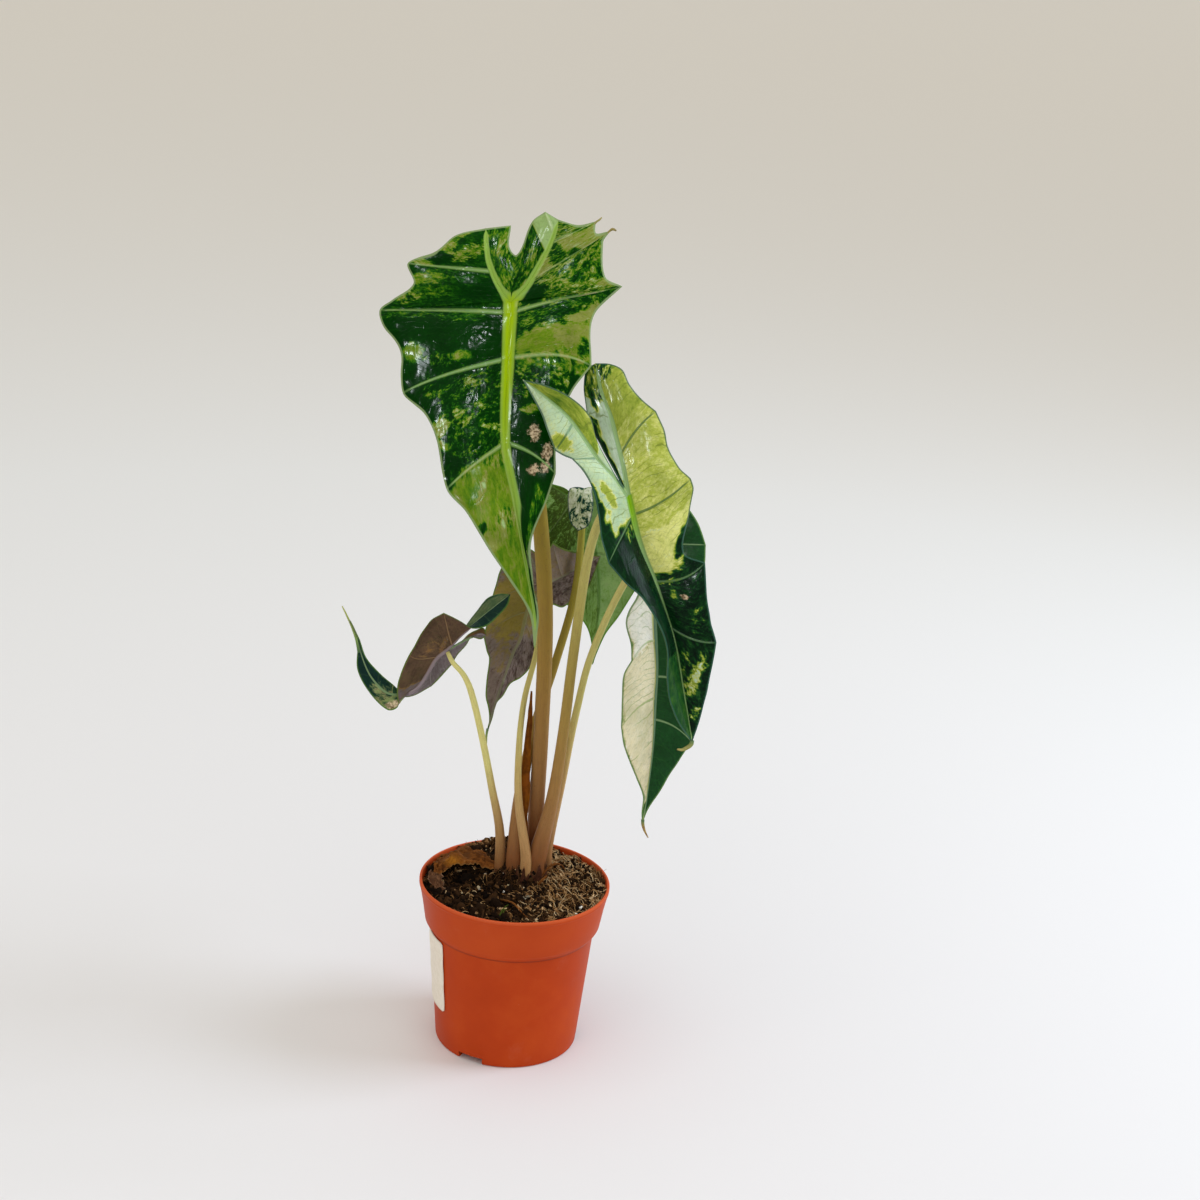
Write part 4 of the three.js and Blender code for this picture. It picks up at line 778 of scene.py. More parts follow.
lower_olive = leaf_side(
    "leaf_lower_olive",
    [(0.0, "8a782e"), (0.2, "988444"), (0.4, "8a764c"), (0.55, "8a7664"), (0.7, "887872"), (0.85, "80706a"),
     (1.0, "46342e")],
    [(0.0, "74743e"), (0.5, "7d745a"), (0.9, "85706c")], "83865c", "85866c", "5c7a2a", (0.7, 0.35),
    roughness=0.46, fine="5c4a42", shown=0.6)

add_blade("a", upper_a, lower_old, "leaf_green", 4.0, 1.6)
add_blade("b", upper_b, lower_old, "leaf_variegated", 2.8, 0.9)
add_blade("c", upper_c, lower_old, "leaf_variegated", 2.6, 0.9)
add_blade("e", upper_e, lower_green, "leaf_green", 1.2, 0.8)
add_blade("f", upper_young, lower_purple, "leaf_purple", 1.0, 0.7)
add_blade("g", upper_young, lower_olive, "leaf_purple", 1.2, 0.8)


# --- stalks -----------------------------------------------------------------------------------------------

def tube(path, sides, step, shape=None):
    """A closed tube along rows of [x, y, z, radius], with how far along and how far round each point is."""
    curve = curve_through([[r, x, y, z] for x, y, z, r in path])
    rough = curve(np.linspace(0, len(path) - 1, 200))[:, 1:]
    lengths = lengths_along(rough)
    rings = max(3, math.ceil(lengths[-1] / step)) + 1
    at = np.interp(np.linspace(0, lengths[-1], rings), lengths, np.linspace(0, len(path) - 1, 200))
    rows = curve(at)
    middle, radius = rows[:, 1:], rows[:, 0]
    way = unit(np.gradient(middle, axis=0))
    depth = unit(np.array([0.0, 1, 0]) - way * way[:, 1:2])
    side = np.cross(depth, way)
    angle = np.linspace(0, 2 * math.pi, sides, endpoint=False)
    share = np.linspace(0, 1, rings)
    grow = np.ones((rings, sides)) if shape is None else shape(share[:, None], angle[None], lengths[-1])
    reach = radius[:, None] * grow
    points = middle[:, None] + reach[..., None] * (
        np.cos(angle)[None, :, None] * side[:, None] + np.sin(angle)[None, :, None] * depth[:, None])
    faces = []
    for i in range(rings - 1):
        for k in range(sides):
            a, b = i * sides + k, i * sides + (k + 1) % sides
            faces.append([a, b, b + sides, a + sides])
    faces.append(list(range(sides))[::-1])
    faces.append([(rings - 1) * sides + k for k in range(sides)])
    values = {"along": np.repeat(share, sides), "round": np.tile(angle, rings),
              "length": np.repeat(share * lengths[-1], sides)}
    return points.reshape(-1, 3), faces, values


def stalk_shader():
    s = Shader("stalk", 0.06, Subsurface_Weight=0.05, Subsurface_Scale=0.003)
    length, along, turn = s.value("length"), s.value("along"), s.value("round")
    ground = s.ramp(along, [(0.0, "623618"), (0.06, "8e5a34"), (0.15, "a07446"), (0.4, "a0803e"),
                            (0.75, "94862e"), (1.0, "989832")])
    pale = s.ramp(along, [(0.0, "d0a068"), (0.25, "d6b27c"), (0.5, "e2da8c")])
    ground = s.mix(s.value("pallor"), ground, pale)
    long_way = s.vector(s.times(length, 0.035), s.times(s.math("SINE", turn), 1.6),
                        s.times(s.math("COSINE", turn), 1.6))
    streaks = s.noise(4.0, 5.0, 0.6, long_way)
    ground = s.mix(s.fade(streaks, 0.4, 0.7, 0.0, 0.5), ground, s.mix(0.5, ground, "75583e"))
    spotted = s.vector(s.times(length, 0.3), s.math("SINE", turn), s.math("COSINE", turn))
    flecks = s.fade(s.noise(5.0, 3.0, 0.65, spotted), 0.6, 0.7)
    ground = s.mix(s.times(flecks, 0.55), ground, "5c4428")
    height = s.plus(s.times(streaks, 0.6), s.times(s.noise(500, 2.0), 0.3))
    return s.finish(ground, s.fade(streaks, 0.3, 0.7, 0.4, 0.54), s.bump(height, 0.0005, 0.5))


stalk_material = stalk_shader()
# How pale a stalk is at its foot, middle and top.
PALLOR = {"a": (0, 0, 0), "b": (0, 0.1, 0.8), "c": (0.3, 0.7, 1), "e": (0, 0, 0.1), "f": (0, 1, 1),
          "g": (0.7, 0.6, 0.5)}
# How much of the gap between a stalk and its blade the stalk grows across.
GAP_CLOSED = 0.85


def stalk_shape(share, angle, length):
    """Flared at the foot, and faintly ridged along."""
    flare = 1 + 0.06 * np.exp(-share * length / 12)
    return flare * (1 + 0.015 * np.sin(5 * angle) + 0.01 * np.sin(8 * angle + 9 * share))


for letter, path in STALKS.items():
    end = np.array(path[-1][:3], float)
    reached = end + (np.array(LEAVES[letter]["join"], float) - end) * GAP_CLOSED
    points, faces, values = tube(path + [[*reached, path[-1][3] * 0.85]], 20, 2.5, stalk_shape)
    values["pallor"] = np.interp(values["along"], [0, 0.5, 1], PALLOR[letter])
    add_piece(f"stalk_{letter}", points, faces, [stalk_material], "petiole", f"petiole_{letter}", values=values)


# Dried threads and curls at the points of the blades: the slot, how brown, and rows of [x, y, z, radius].
TIPS = {
    "a_left": ("leaf_green", 0.5, [[20, 14, 517, 0.8], [22.5, 14.5, 520, 0.6], [24.5, 14.5, 521.6, 0.5],
                                   [25.6, 14, 523, 0.3]]),
    "a_right": ("leaf_green", 0.7, [[28, 13.5, 512.5, 0.8], [30.5, 13.5, 515.5, 0.6], [32.4, 12, 517, 0.8],
                                    [34.4, 11, 516.4, 0.4]]),
    "b_tip": ("leaf_variegated", 0.5, [[101, -46.5, 230, 1.2], [100.5, -47.5, 227.5, 1.3],
                                       [98, -48.5, 225.6, 1.2], [95.4, -49.5, 224.6, 0.9],
                                       [92.5, -50, 224.9, 0.5]]),
    "c_tip": ("leaf_variegated", 1.0, [[77.2, -3, 157, 1.1], [77.6, -3, 153.5, 1.0], [79, -3, 149.5, 0.7],
                                       [81.5, -3, 145, 0.3]]),
    "f_tip": ("leaf_purple", 0.0, [[-101.5, -14.8, 258, 0.9], [-103.2, -15, 266, 0.8], [-106, -15, 273.5, 0.65],
                                   [-109.5, -15, 281, 0.55], [-112.4, -15, 286.5, 0.35]]),
    "g_tip": ("leaf_purple", 0.1, [[-25.6, 54.4, 187, 0.8], [-26, 54, 182, 0.7], [-25.6, 54, 177, 0.35]]),
}


def tip_shader():
    s = Shader("leaf_tip", 0.2)
    along, brown = s.value("along"), s.value("brown")
    fresh = s.ramp(along, [(0.0, "4c6a44"), (0.3, "7c984e"), (1.0, "b0b468")])
    dead = s.ramp(s.noise(260, 4.0, 0.6), [(0.35, "6b4a28"), (0.5, "9a7c44"), (0.7, "c2a868")])
    base = s.mix(s.times(brown, s.fade(along, 0.0, 0.4)), fresh, dead)
    return s.finish(base, 0.55, s.bump(s.noise(500, 3.0), 0.0004, 0.6))


tip_material = tip_shader()
for name, (slot, brown, path) in TIPS.items():
    points, faces, values = tube(path, 10, 0.8)
    values["brown"] = np.full(len(points), brown)
    add_piece(name, points, faces, [tip_material], slot, values=values)


# --- pot and label ----------------------------------------------------------------------------------------

RIM_RADIUS, RIM_HEIGHT = 60, 108.5
BAND_BOTTOM, BAND_RADIUS = 82, 55.4
SHOULDER_HEIGHT, SHOULDER_RADIUS = 77.5, 51.8
FOOT_RADIUS, WALL, FOOT_RECESS, CENTRE_FOOT = 45.2, 1.4, 4.5, 15
# Notches in the foot ring: where they are, in degrees, and how far in and how wide they are. Drain holes: how
# many, how far out and their radius.
NOTCH_ANGLES, NOTCH_DEPTH, NOTCH_WIDTH = (-116, 4, 124), 12, 17
DRAIN_HOLES, DRAIN_REACH, DRAIN_RADIUS = 8, 28, 4
# The label: its height on the pot, its edges and its middle in degrees round the pot, and its corners.
LABEL_LOW, LABEL_HIGH = 27, 76.5
LABEL_FROM, LABEL_TO, LABEL_MIDDLE = -196, -142, -169
LABEL_CORNER = 2.0


def body_radius(height):
    return FOOT_RADIUS + (SHOULDER_RADIUS - FOOT_RADIUS) * height / SHOULDER_HEIGHT


def turned(profile, sides):
    """A closed shape turned about the upright axis; the profile starts and ends on the axis."""
    angle = np.linspace(0, 2 * math.pi, sides, endpoint=False)
    points, rings = [], []
    for radius, height in profile:
        if radius == 0:
            rings.append([len(points)] * sides)
            points.append((0, 0, height))
        else:
            rings.append(list(range(len(points), len(points) + sides)))
            points.extend((radius * math.cos(a), radius * math.sin(a), height) for a in angle)
    faces = []
    for low, high in zip(rings, rings[1:]):
        for k in range(sides):
            m = (k + 1) % sides
            face = [low[k], low[m], high[m], high[k]]
            face = [a for n, a in enumerate(face) if a != face[n - 1]]
            faces.append(face)
    return np.array(points, float), faces


def rounded(corners):
    """Profile points with the corners marked by a third number rounded off by that much."""
    profile = []
    for i, corner in enumerate(corners):
        if len(corner) == 2:
            profile.append(tuple(corner))
            continue
        here, reach = np.array(corner[:2], float), corner[2]
        before, after = np.array(corners[i - 1][:2], float), np.array(corners[i + 1][:2], float)
        start = here + (before - here) / np.linalg.norm(before - here) * reach
        end = here + (after - here) / np.linalg.norm(after - here) * reach
        for t in (0, 0.25, 0.5, 0.75, 1):
            profile.append(tuple((1 - t) ** 2 * start + 2 * t * (1 - t) * here + t * t * end))
    return profile


def pot_shader():
    s = Shader("pot_plastic", 0.09)
    x, y, z = s.add("SeparateXYZ", {"Vector": s.place}).outputs
    cloud = s.noise(22, 4.0, 0.6)
    base = s.ramp(cloud, [(0.25, "b03a0c"), (0.5, "ba4010"), (0.75, "c44c18")])
    band = s.fade(z, 0.0805, 0.0815)
    base = s.mix(s.times(band, 0.45), base, "bf4a1e")
    # Painted highlight: the top edge of the rim is lightened to a paler orange.
    lip_highlight = s.fade(z, 0.1063, 0.1078)
    base = s.mix(s.times(lip_highlight, 0.5), base, "d8663a")
    # Painted shade: a dark line in the crease where the shoulder meets the band above it.
    crease_shade = s.fade(s.math("ABSOLUTE", s.minus(z, 0.0782)), 0.0, 0.0014, 0.6, 0.0)
    base = s.mix(crease_shade, base, "6e2412")
    # Dust and fine scuffs.
    dust = s.times(s.fade(s.noise(60, 6.0, 0.7), 0.55, 0.8), 0.07)
    base = s.mix(dust, base, "d79a86")
    specks = s.fade(s.cells(160), 0.03, 0.07, 0.5, 0.0)
    picked = s.fade(s.noise(30, 1.0), 0.66, 0.7)
    base = s.mix(s.times(specks, picked), base, "e6bfb0")
    around = s.math("ARCTAN2", y, x)
    scuffs = s.noise(1.0, 5.0, 0.7, s.vector(s.times(around, 2.0), s.times(z, 260), 0.0))
    height = s.plus(s.times(scuffs, 0.4), s.times(s.noise(900, 2.0), 0.25))
    rough = s.fade(cloud, 0.3, 0.75, 0.42, 0.56)
    return s.finish(base, rough, s.bump(height, 0.0002, 0.35))


def add_pot():
    floor = FOOT_RECESS + WALL
    inner, outer = CENTRE_FOOT + 2, FOOT_RADIUS - 4
    profile = rounded([
        (0, 0), (CENTRE_FOOT, 0, 0.6), (inner, FOOT_RECESS, 0.6), (outer - 1, FOOT_RECESS, 0.6),
        (outer, 0, 0.5), (FOOT_RADIUS, 0, 1.4), *((body_radius(z), z) for z in (20, 40, 60)),
        (SHOULDER_RADIUS, SHOULDER_HEIGHT, 0.7), (BAND_RADIUS, BAND_BOTTOM, 1.0), (57.5, 95),
        (RIM_RADIUS - 0.45, RIM_HEIGHT - 3.4, 0.5), (RIM_RADIUS, RIM_HEIGHT - 2.6, 0.3),
        (RIM_RADIUS, RIM_HEIGHT, 0.7), (RIM_RADIUS - 1.6, RIM_HEIGHT, 0.6), (57.6 - WALL, 96),
        (BAND_RADIUS - WALL, BAND_BOTTOM + 1, 1.0), (SHOULDER_RADIUS - WALL, SHOULDER_HEIGHT + 0.5, 0.7),
        (body_radius(40) - WALL, 40), (body_radius(floor) - WALL, floor, 1.6), (inner + 1, floor, 0.6),
        (CENTRE_FOOT, WALL, 0.6), (0, WALL),
    ])
    points, faces = turned(profile, 160)
    pot = add_piece("pot_shell", points, faces, [pot_shader()], "pot", "pot")
    cutters = bmesh.new()
    for degrees in NOTCH_ANGLES:
        turn = Matrix.Rotation(math.radians(degrees), 4, "Z")
        place = Matrix.Translation(((FOOT_RADIUS - 2) * MM, 0, 0))
        size = Matrix.Diagonal((NOTCH_DEPTH * MM, NOTCH_WIDTH * MM, 2 * FOOT_RECESS * MM, 1))
        bmesh.ops.create_cube(cutters, size=1, matrix=turn @ place @ size)
    for i in range(DRAIN_HOLES):
        turn = Matrix.Rotation(2 * math.pi * (i + 0.5) / DRAIN_HOLES, 4, "Z")
        place = Matrix.Translation((DRAIN_REACH * MM, 0, (FOOT_RECESS + WALL / 2) * MM))
        bmesh.ops.create_cone(cutters, cap_ends=True, segments=24, radius1=DRAIN_RADIUS * MM,
                              radius2=DRAIN_RADIUS * MM, depth=6 * MM, matrix=turn @ place)
    mesh = bpy.data.meshes.new("cutters")
    cutters.to_mesh(mesh)
    cutters.free()
    cutter = bpy.data.objects.new("cutters", mesh)
    bpy.context.scene.collection.objects.link(cutter)
    cut = pot.modifiers.new("cut", "BOOLEAN")
    cut.object, cut.operation, cut.solver = cutter, "DIFFERENCE", "EXACT"
    result = bpy.data.meshes.new_from_object(pot.evaluated_get(bpy.context.evaluated_depsgraph_get()))
    pot.modifiers.clear()
    pot.data = result
    bpy.data.objects.remove(cutter)
    bpy.data.meshes.remove(mesh)
    pot.data.polygons.foreach_set("use_smooth", np.full(len(pot.data.polygons), True))
    pot.data.set_sharp_from_angle(angle=math.radians(40))


def sheet_piece(name, rows, half, material, slot, replaces=None):
    """A thin closed solid round a grid of points, with how far across and along each point is."""
    rows = np.asarray(rows, float)
    count, columns = rows.shape[:2]
    points = rows.reshape(-1, 3)
    faces = []
    for i in range(count - 1):
        for c in range(columns - 1):
            a = i * columns + c
            faces.append([a, a + 1, a + columns + 1, a + columns])
    both, all_faces = closed_sheet(points, face_normals(points, faces), faces, half, half)
    values = {"across": np.tile(np.linspace(0, 1, columns), 2 * count),
              "along": np.tile(np.repeat(np.linspace(0, 1, count), columns), 2)}
    add_piece(name, both, all_faces, [material], slot, replaces, values=values)


def label_shader():
    s = Shader("label_paper")
    fibre = s.noise(300, 6.0, 0.7)
    base = s.mix(s.fade(fibre, 0.35, 0.7), "f3eadb", "e9dfcd")
    edge = s.math("MINIMUM", s.value("along"), s.minus(1.0, s.value("along")))
    base = s.mix(s.fade(edge, 0.0, 0.03, 0.3, 0.0), base, "c8c0b4")
    base = s.mix(s.fade(s.noise(35, 5.0, 0.7), 0.6, 0.75, 0.0, 0.25), base, "cdbfae")
    return s.finish(base, 0.62, s.bump(s.plus(fibre, s.noise(60, 2.0)), 0.0002, 0.4))


def add_label():
    rows, columns = [], 48
    half_width = (LABEL_MIDDLE - LABEL_FROM) * 0.9
    for height in np.linspace(LABEL_LOW, LABEL_HIGH, 40):
        low = min(height - LABEL_LOW, LABEL_HIGH - height)
        pull = LABEL_CORNER - math.sqrt(max(LABEL_CORNER ** 2 - max(LABEL_CORNER - low, 0) ** 2, 0))
        middle = np.radians(LABEL_MIDDLE)
        angle = np.radians(np.linspace(LABEL_FROM, LABEL_TO, columns))
        angle = middle + (angle - middle) * (1 - pull / half_width)
        radius = body_radius(height) + 0.7 + 0.12 * np.sin(height * 0.35 + 3 * angle)
        row = [radius * np.cos(angle), radius * np.sin(angle), np.full(columns, height)]
        rows.append(np.stack(row, axis=1))
    sheet_piece("label_paper", rows, 0.22, label_shader(), "label", "label")


add_pot()
add_label()


# --- soil -------------------------------------------------------------------------------------------------

SOIL_LEVEL, SOIL_ROUGHNESS = 105, 1.3
# How far out loose bits lie, how far the root ball stays off the pot, the corm's middle, and a pit in the soil.
SOIL_REACH, SOIL_GAP = 57, 0.35
CROWN, PIT = (4, 13), (-38, 2)
# The corm's outline: radius and height.
CORM_PROFILE = [(0, 84), (7, 85), (11, 92), (14.5, 100), (15.5, 106), (14.5, 111), (10.5, 114.5), (0, 116)]


def soil_height(x, y):
    mound = 3.2 * np.exp(-((x + 12) ** 2 + (y - 34) ** 2) / 900)
    hollow = -3.5 * np.exp(-((x + 30) ** 2 + (y + 4) ** 2) / 160)
    clods = np.sin(0.31 * x + 1.3) * np.cos(0.27 * y) + 0.6 * np.sin(0.53 * y - 0.41 * x)
    return SOIL_LEVEL + mound + hollow + SOIL_ROUGHNESS * clods


def fine_soil_height(x, y):
    grains = ((1.5, 7.0, 5), (1.3, 3.1, 6), (0.7, 1.3, 7))
    rough = sum(depth * lattice_noise(x, y, cell, seed) for depth, cell, seed in grains)
    edge = smooth_step(np.hypot(x, y), SOIL_REACH, 50)
    pit = -3.5 * np.exp(-((x - PIT[0]) ** 2 + (y - PIT[1]) ** 2) / 50)
    return soil_height(x, y) + rough * (0.35 + 0.65 * edge) + pit


def top_height(x, y):
    """The soil's top, or the corm's where it stands higher."""
    away = math.hypot(x - CROWN[0], y - CROWN[1])
    corm = np.interp(away, [0, 10, 14, 15], [115, 113.5, 110, 104])
    return max(fine_soil_height(np.array([x]), np.array([y]))[0], corm)


def soil_shader():
    s = Shader("peat", 0.03)
    stops = [(0.3, "0a0603"), (0.48, "1a1008"), (0.6, "34220f"), (0.75, "62421c")]
    base = s.ramp(s.noise(240, 8.0, 0.72), stops)
    base = s.mix(s.fade(s.noise(700, 3.0), 0.62, 0.7, 0.0, 0.5), base, "7d5f38")
    height = s.plus(s.noise(420, 6.0, 0.7), s.times(s.noise(1400, 2.0), 0.4))
    return s.finish(base, 0.92, s.bump(height, 0.0012, 1.0))


def add_soil():
    def inside(height):
        return body_radius(height) - WALL - SOIL_GAP

    floor = FOOT_RECESS + WALL + SOIL_GAP
    band = BAND_RADIUS - WALL - SOIL_GAP
    slope = (RIM_RADIUS - 1.6 - BAND_RADIUS + WALL) / (RIM_HEIGHT - 0.5 - BAND_BOTTOM - 1)
    top = band + slope * (SOIL_LEVEL - 3 - BAND_BOTTOM - 1)
    profile = [(0, WALL + SOIL_GAP), (CENTRE_FOOT - 0.6, WALL + SOIL_GAP), (CENTRE_FOOT + 2.4, floor),
               (inside(floor) - 2, floor), (inside(floor + 2.4), floor + 2.4),
               (inside(SHOULDER_HEIGHT), SHOULDER_HEIGHT + 1), (band, BAND_BOTTOM + 1.5), (top, SOIL_LEVEL - 3)]
    rings = [(r, SOIL_LEVEL) for r in np.linspace(top - 0.6, 0.8, 62)]
    points, faces = turned(profile + rings + [(0, SOIL_LEVEL)], 240)
    on_top = np.abs(points[:, 2] - SOIL_LEVEL) < 0.01
    points[on_top, 2] = fine_soil_height(points[on_top, 0], points[on_top, 1])
    add_piece("soil_fill", points, faces, [soil_shader()], "soil", "soil")


CHIP = np.array([(x, y, z) for z in (-1, 1) for x, y in ((-1, -1), (1, -1), (1, 1), (-1, 1))])
CHIP_FACES = [(0, 3, 2, 1), (4, 5, 6, 7), (0, 1, 5, 4), (1, 2, 6, 5), (2, 3, 7, 6), (3, 0, 4, 7)]


def round_place(angle, away, middle=(0, 0)):
    """The spot at an angle and a distance from a middle."""
    return middle[0] + away * math.cos(angle), middle[1] + away * math.sin(angle)


def scatter_place(random, clear=11.0):
    """A random spot on the soil, clear of the stalks and of the pit."""
    while True:
        away, angle = (SOIL_REACH - 0.5) * math.sqrt(random.uniform()), random.uniform(0, 2 * math.pi)
        place = round_place(angle, away)
        if math.dist(place, CROWN) > clear and math.dist(place, PIT) > 6:
            return place


def turning(random, tilt):
    """A random turn about the upright axis, with a random lean."""
    spin = Matrix.Rotation(random.uniform(0, 2 * math.pi), 3, "Z")
    lean = [Matrix.Rotation(random.uniform(-tilt, tilt), 3, axis) for axis in "XY"]
    return np.array(spin @ (lean[0] @ lean[1]))


def crumb_shader(name, stops, roughness=0.85):
    s = Shader(name, 0.03)
    uneven = s.times(s.minus(s.noise(500, 4.0, 0.7), 0.5), 0.3)
    base = s.ramp(s.plus(s.value("shade"), uneven, clamp=True), stops)
    return s.finish(base, roughness, s.bump(s.noise(900, 3.0), 0.0005, 0.8))


def ball_shape(subdivisions):
    ball = bmesh.new()
    bmesh.ops.create_icosphere(ball, subdivisions=subdivisions, radius=1)
    points = np.array([v.co[:] for v in ball.verts])
    faces = [[v.index for v in f.verts] for f in ball.faces]
    ball.free()
    return points, faces


def lumpy(points, random, depth):
    """A ball with uneven lumps and dents."""
    p = points * 2.1 + random.uniform(0, 60, 3)
    lumps = sum(lattice_noise(p[:, i], p[:, (i + 1) % 3], 1.0, 51 + i) for i in range(3))
    return points * (1 + depth * lumps)[:, None]


class Heap:
    """Many small shapes gathered into one piece, each with a shade."""

    def __init__(self):
        self.points, self.faces, self.shade, self.count = [], [], [], 0

    def put(self, shape, faces, tone):
        self.points.append(shape)
        self.faces.extend([[a + self.count for a in f] for f in faces])
        self.shade.append(np.full(len(shape), tone))
        self.count += len(shape)

    def drop(self, shape, faces, x, y, lift, tone):
        """Puts a shape down at x, y, so far above the soil."""
        self.put(shape + (x, y, top_height(x, y) + lift), faces, tone)

    def add(self, name, material, slot, flat=False):
        add_piece(name, np.concatenate(self.points), self.faces, [material], slot,
                  values={"shade": np.concatenate(self.shade)}, flat=flat)


def add_crumbs():
    """Clods, bark chips and grains that lie loose on the soil."""
    random = np.random.default_rng(21)
    ball, ball_faces = ball_shape(2)
    big_ball, big_faces = ball_shape(3)
    clods, chips, grains = Heap(), Heap(), Heap()

    def lump(size, shape=ball, depth=0.3, low=0.6, high=1.2):
        return lumpy(shape, random, depth) * size * random.uniform(low, high, 3) @ turning(random, 3).T

    # Large clods, small ones all over, round the crown, and heaped up at the back of the rim.
    for _ in range(150):
        x, y = scatter_place(random, 14.0)
        size = random.uniform(1.6, 4.2) * (1.0 if x < 12 else 0.7)
        size = min(size, 0.8 * (SOIL_REACH - math.hypot(x, y)) + 1)
        shape = lump(size, big_ball, 0.24, 0.7, 1.15)
        clods.drop(shape, big_faces, x, y, -0.15 * size, random.uniform(0.0, 0.33))
    for _ in range(650):
        place, size = scatter_place(random, 9.0), random.uniform(0.6, 2.0)
        clods.drop(lump(size), ball_faces, *place, 0.25 * size, random.uniform(0.0, 0.36))
    for _ in range(230):
        place = round_place(random.uniform(0, 2 * math.pi), random.uniform(6, 15), CROWN)
        size = random.uniform(0.7, 2.2)
        clods.drop(lump(size), ball_faces, *place, 0.5 * size, random.uniform(0.0, 0.3))
    for _ in range(120):
        angle, away = math.radians(random.uniform(92, 128)), random.uniform(50, SOIL_REACH - 1)
        clods.drop(lump(random.uniform(0.8, 2.2)), ball_faces, *round_place(angle, away),
                   random.uniform(0, 5.5) * (1 - (away - 50) / 16), random.uniform(0.25, 0.62))
    for _ in range(1000):
        x, y = scatter_place(random, 9.0)
        length = random.uniform(0.8, 4.4) + 1.2 * (x > 5)
        size = np.array([length, random.uniform(0.3, 1.3), random.uniform(0.12, 0.45)]) / 1.4
        shape = CHIP * size * (1 + 0.35 * random.uniform(-1, 1, (8, 3))) @ turning(random, 0.8).T
        pale = 0.12 + 0.33 * (x > 5) + 0.3 * (x > 15 and y > 15)
        tone = random.uniform(0.6, 1.0) if random.uniform() < pale else random.uniform(0.05, 0.5)
        chips.drop(shape, CHIP_FACES, x, y, 0.6, tone)
    stops = [(0.0, "0c0704"), (0.2, "24160b"), (0.35, "402a16"), (0.5, "6a4a2a"), (0.75, "a88056"),
             (1.0, "d8b88c")]
    brown = crumb_shader("crumbs", stops)
    clods.add("soil_crumbs", brown, "soil")
    chips.add("soil_chips", brown, "soil", True)
    # White grains where the photograph shows them, each with its size, and some more anywhere.
    placed = [(-22, -8.5, 1.3), (-21, -10, 0.8), (-4, -6.5, 0.9), (-3, -7.5, 0.6), (6, -7, 0.8), (-6, -16, 0.7),
              (43, -27, 1.1), (40, -35, 1.0), (37, -37, 0.8), (34, -39, 1.1), (17, -48, 1.2), (14, -47, 0.8),
              (-19, 49, 1.5), (-16, 49, 1.1), (49, 8, 0.9), (-9, 26, 0.8)]
    placed += [(*scatter_place(random), random.uniform(0.4, 0.8)) for _ in range(16)]
    for x, y, size in placed:
        grains.drop(lump(size, depth=0.35, high=1.3), ball_faces, x, y, 0.7, random.uniform(0.2, 1))
    chip = CHIP * (4.4, 1.3, 0.4) * (1 + 0.3 * random.uniform(-1, 1, (8, 3)))
    chip = chip @ np.array(Matrix.Rotation(math.radians(63), 3, "Z")).T
    grains.drop(chip, CHIP_FACES, 7.5, -20, 1.4, 0.0)
    stops = [(0.0, "8d8470"), (0.4, "b9a682"), (0.7, "d6cbb6"), (1.0, "f1ece4")]
    grains.add("soil_grains", crumb_shader("grains", stops, 0.7), "soil")


def strand(heap, path, radius, tone):
    """A thin three-sided thread along a path, tapering to its end."""
    path = np.array(path, float)
    steps = len(path)
    way = unit(np.gradient(path, axis=0))
    side = unit(np.cross(way, [0.1, 0.05, 1]))
    rise = np.cross(side, way)
    taper = radius * (1 - 0.6 * np.linspace(0, 1, steps))[:, None]
    angles = [2 * math.pi * k / 3 for k in range(3)]
    points = np.concatenate([path + taper * (math.cos(a) * side + math.sin(a) * rise) for a in angles])
    faces = [[k * steps + i, (k + 1) % 3 * steps + i, (k + 1) % 3 * steps + i + 1, k * steps + i + 1]
             for i in range(steps - 1) for k in range(3)]
    faces += [[2 * steps, steps, 0], [steps - 1, 2 * steps - 1, 3 * steps - 1]]
    heap.put(points, faces, tone)


def lying_path(random, x, y, heading, length, wander, lift):
    """A path that wanders over the soil from a place, lifted in its middle."""
    path, steps = [], 7
    bend = random.uniform(-wander, wander)
    for k in range(steps):
        reach = math.hypot(x, y)
        if reach > SOIL_REACH:
            x, y = x * SOIL_REACH / reach, y * SOIL_REACH / reach
        path.append((x, y, top_height(x, y) + 0.3 + lift * math.sin(math.pi * k / (steps - 1))))
        x += math.cos(heading) * length / steps
        y += math.sin(heading) * length / steps
        heading += bend + random.uniform(-0.12, 0.12)
    return path


